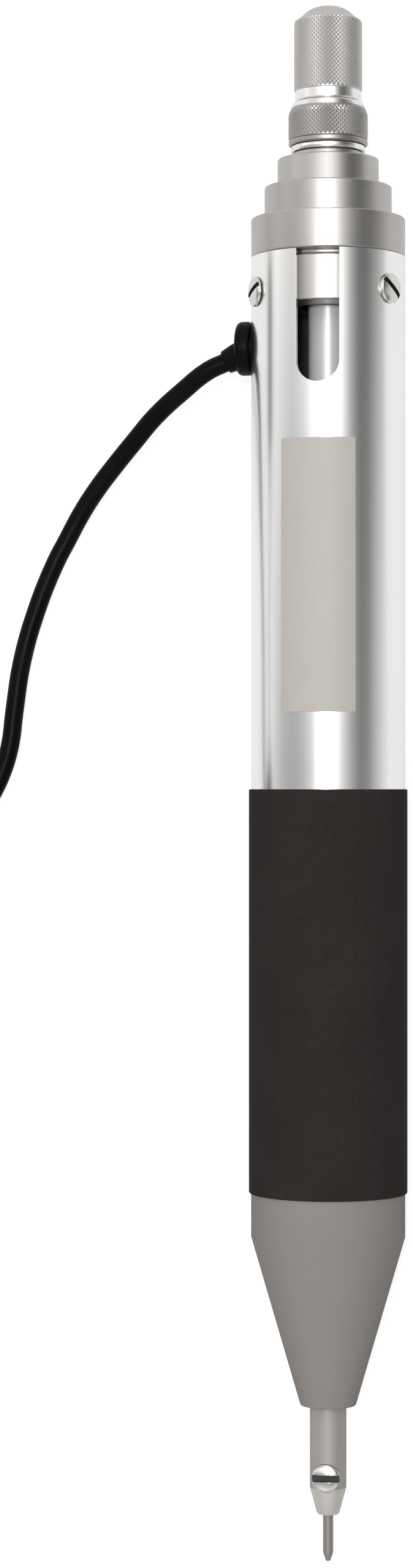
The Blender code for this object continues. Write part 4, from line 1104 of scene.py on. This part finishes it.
def make_plug_grip():
    """A moulded handle with round grooves, a thin neck for the lead and a hole for the pin."""
    neck, neck_end, floor = 1.6, 6.0, 1.2
    first_rib, last_rib, rib_pitch, rib_width = 13.1, 21, 2.2, 1.9
    stem_hole = PIN_STEM + GAP
    ribs, rib = [], first_rib
    while rib < last_rib:
        groove = bow(PLUG_RADIUS, rib + 1.1, 0.4, 0.6, 230, 130, 4)
        ribs += [(PLUG_RADIUS, rib), (PLUG_RADIUS, rib + 0.3), *groove]
        ribs.append((PLUG_RADIUS, rib + rib_width))
        rib += rib_pitch
    body = turn(
        "plug_grip",
        [
            (0, floor),
            (CORD_HOLE, floor),
            (CORD_HOLE, 0),
            (neck, 0),
            (neck, neck_end),
            *bow(2.6, neck_end, 1.0, 0.8, 180, 110, 3)[1:],
            *bow(3.5, 7.9, 1.0, 1.0, -70, 0, 5),
            *ribs,
            (PLUG_RADIUS, 27.2),
            *bow(3.7, 27.2, 0.8, 0.8, 0, 90, 5)[1:],
            (stem_hole, PLUG_END),
            (stem_hole, PIN_HOLE_FLOOR),
            (0, PIN_HOLE_FLOOR),
        ],
        AROUND_SMALL,
    )
    put(body, PLUG)
    done(body, "plastic", "black_plastic", "pen", "plug_body")
    return body


def make_plug_pin():
    """A stem, a collar on the handle's end, and a bowed pin slit into four leaves."""
    stem_foot, tip = (corner[1] - plug_low[1] for corner in box("plug_pin"))
    collar_foot, collar_top = PLUG_END + GAP, 29.25
    collar, pin_radius, leaf_end = radius_of("plug_pin"), 1.75, tip - 0.8
    middle, slit_width, slit_length = 36.75, 0.35, 11.5
    pin = turn(
        "plug_contact",
        [
            (0, stem_foot),
            (PIN_STEM, stem_foot),
            (PIN_STEM, collar_foot),
            (collar - 0.1, collar_foot),
            (collar, collar_foot + 0.1),
            (collar, collar_top - 0.1),
            (collar - 0.1, collar_top),
            (pin_radius, collar_top),
            *bow(pin_radius, middle, 0.25, 5.0, -90, 90, 10)[1:-1],
            (pin_radius, leaf_end),
            *bow(1.15, leaf_end, 0.6, 0.8, 0, 90, 5)[1:],
            (0, tip),
        ],
        AROUND_SMALL,
    )
    for quarter in range(2):
        slit = block((slit_width, 6, slit_length), (0, 0, middle))
        put(slit, Matrix.Rotation(quarter * math.pi / 2, 4, "Z"))
        cut(pin, slit)
    put(pin, PLUG)
    done(pin, "brass", "brass", "pen", "plug_pin")
    return pin


def finish_inner_pieces():
    """What stays as it was packed gets its finish."""
    looks = {
        "spacer_tube": "plastic",
        "coil_bobbin": "plastic",
        "coil_winding": "copper",
        "insulating_sleeve": "paper",
        "pole_piece": "iron",
        "plunger": "iron",
        "snap_ring": "steel",
        "stop_collar": "steel",
        "spring_seat": "brass",
        "guide_bush": "brass",
        "stop_washer": "rubber",
        "inner_lead": "rubber",
    }
    for node, look in looks.items():
        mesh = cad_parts[node].data
        mesh.materials.clear()
        mesh.materials.append(LOOKS[look])


# Table, room, lamp and camera


def make_table():
    """White to the camera, pale in metal, and a plain grey that lights the pen softly."""
    only(None)
    bpy.ops.mesh.primitive_plane_add(size=8, location=(0, 0, -0.03 * MM))
    table = bpy.context.object
    table.name = "table"
    made = bpy.data.materials.new("white_table")
    tree = Tree(made)
    tree.nodes.clear()

    def surface(tone, glow=0):
        plain = tree.node("ShaderNodeBsdfDiffuse", {}, {"Color": (tone, tone, tone, 1)})
        if not glow:
            return plain.outputs[0]
        light = tree.node("ShaderNodeEmission", {}, {"Color": (1, 1, 1, 1), "Strength": glow})
        both = {0: plain.outputs[0], 1: light.outputs[0]}
        return tree.node("ShaderNodeAddShader", {}, both).outputs[0]

    def choose(factor, first, second):
        inputs = {0: factor, 1: first, 2: second}
        return tree.node("ShaderNodeMixShader", {}, inputs).outputs[0]

    rays = tree.node("ShaderNodeLightPath")
    by_camera = tree.wire(rays, "Is Camera Ray")
    in_metal = (tree.wire(rays, "Is Glossy Ray") + tree.wire(rays, "Is Transmission Ray")).clamped()
    lit = choose(in_metal, surface(0.42), surface(0.55, glow=0.3))
    seen = choose(by_camera, lit, surface(0.3, glow=0.8))
    tree.node("ShaderNodeOutputMaterial", {}, {"Surface": seen})
    table.data.materials.append(made)


# What the room shows from left to right overhead: degrees from straight up, and level.
# Beyond the knob's end it is brighter on the left and darker on the right, and beyond the
# needle's end it is even overhead and darker on both sides.
ROOM = [
    (-180, 0.90),
    (-92, 0.66),
    (-76, 0.40),
    (-58, 0.295),
    (-42, 0.305),
    (-24, 0.43),
    (-8, 0.64),
    (12, 0.70),
    (22, 0.56),
    (33, 0.34),
    (47, 0.20),
    (59, 0.26),
    (71, 0.50),
    (84, 0.74),
    (180, 0.90),
]
NEEDLE_END = [
    (-180, 0.90),
    (-90, 0.30),
    (-70, 0.34),
    (-45, 0.50),
    (-20, 0.46),
    (0, 0.36),
    (20, 0.42),
    (40, 0.46),
    (65, 0.26),
    (90, 0.24),
    (180, 0.90),
]
KNOB_END = [
    (-180, 0.90),
    (-94, 1.70),
    (-79, 1.45),
    (-63, 1.18),
    (-50, 1.26),
    (-38, 1.55),
    (-24, 2.10),
    (-12, 2.70),
    (9, 2.70),
    (20, 1.35),
    (31, 0.45),
    (42, 0.06),
    (60, 0.03),
    (74, 0.12),
    (88, 0.30),
    (180, 0.90),
]


def make_room():
    """White to the camera. Elsewhere its bands change along the pen, and y tells how far: -1
    is straight past the needle and 1 straight past the knob. Far past the needle the room's
    upper part is lifted."""
    world = bpy.data.worlds.new("room")
    bpy.context.scene.world = world
    tree = Tree(world)
    tree.nodes.clear()
    way = tree.node("ShaderNodeTexCoord").outputs["Generated"]
    parts = tree.node("ShaderNodeSeparateXYZ", {}, {0: way})
    x, y, z = (tree.wire(parts, name) for name in "XYZ")
    around = x.turn_from(z) / math.tau + 0.5

    def band(levels):
        stops = [(degrees / 360 + 0.5, level) for degrees, level in levels]
        return tree.node("ShaderNodeValToRGB", {"stops": stops}, {"Fac": around}).outputs[0]

    middle, knob_end, needle_end = band(ROOM), band(KNOB_END), band(NEEDLE_END)
    on_knob_side = (y / 0.32).clamped()
    past_knob = ((y - 0.3) / 0.25).clamped()
    on_needle_side = ((-0.08 - y) / 0.12).clamped()
    past_needle = ((-0.4 - y) / 0.3).clamped()
    overhead = (z * 2).clamped()
    bands = tree.mix(on_knob_side - past_knob * 0.6, middle, knob_end)
    bands = tree.mix(on_needle_side, bands, needle_end)
    lift = past_needle * overhead * 1.2 + 1
    seen = tree.wire(tree.node("ShaderNodeLightPath"), "Is Camera Ray")
    colour = tree.mix(seen, bands, (1, 1, 1, 1))
    strength = lift + seen * (1 - lift)
    sky = tree.node("ShaderNodeBackground", {}, {"Color": colour, "Strength": strength})
    tree.node("ShaderNodeOutputWorld", {}, {"Surface": sky.outputs[0]})


def make_lamp():
    """A round white lamp above the pen, a little to its left."""
    place, across, level = (-0.06, 0.06, 0.75), 0.08, 118
    data = bpy.data.lights.new("top_lamp", "AREA")
    data.shape = "DISK"
    data.size = across
    data.energy = level * math.pi * math.pi * across * across / 4
    lamp = bpy.data.objects.new("top_lamp", data)
    lamp.location = place
    lamp.rotation_euler = (-Vector(place)).to_track_quat("-Z", "Y").to_euler()
    lamp.visible_camera = False
    bpy.context.collection.objects.link(lamp)


def make_camera():
    """It looks straight down on the pen, which lies right of the picture's middle."""
    x, y, height, lens, sensor = -12.63, -0.16, 355, 78.44, 36
    data = bpy.data.cameras.new("camera")
    data.lens = lens
    data.sensor_width = sensor
    data.clip_start = 0.02
    camera = bpy.data.objects.new("camera", data)
    camera.location = (x * MM, y * MM, (AXIS_HEIGHT + height) * MM)
    bpy.context.collection.objects.link(camera)
    bpy.context.scene.camera = camera


make_camera()
plug, pin = make_plug_grip(), make_plug_pin()
make_lead(*make_grommet(), plug, pin)
make_barrel()
make_end_cap()
make_cap_screws()
make_lock_washer()
make_lock_nut()
make_knob()
make_spindle()
make_nose()
make_needle_holder()
make_clamp_screw()
make_needle()
make_return_spring()
make_grip()
make_label()
finish_inner_pieces()
make_table()
make_room()
make_lamp()
bpy.context.scene.view_settings.view_transform = "Standard"

only(None)
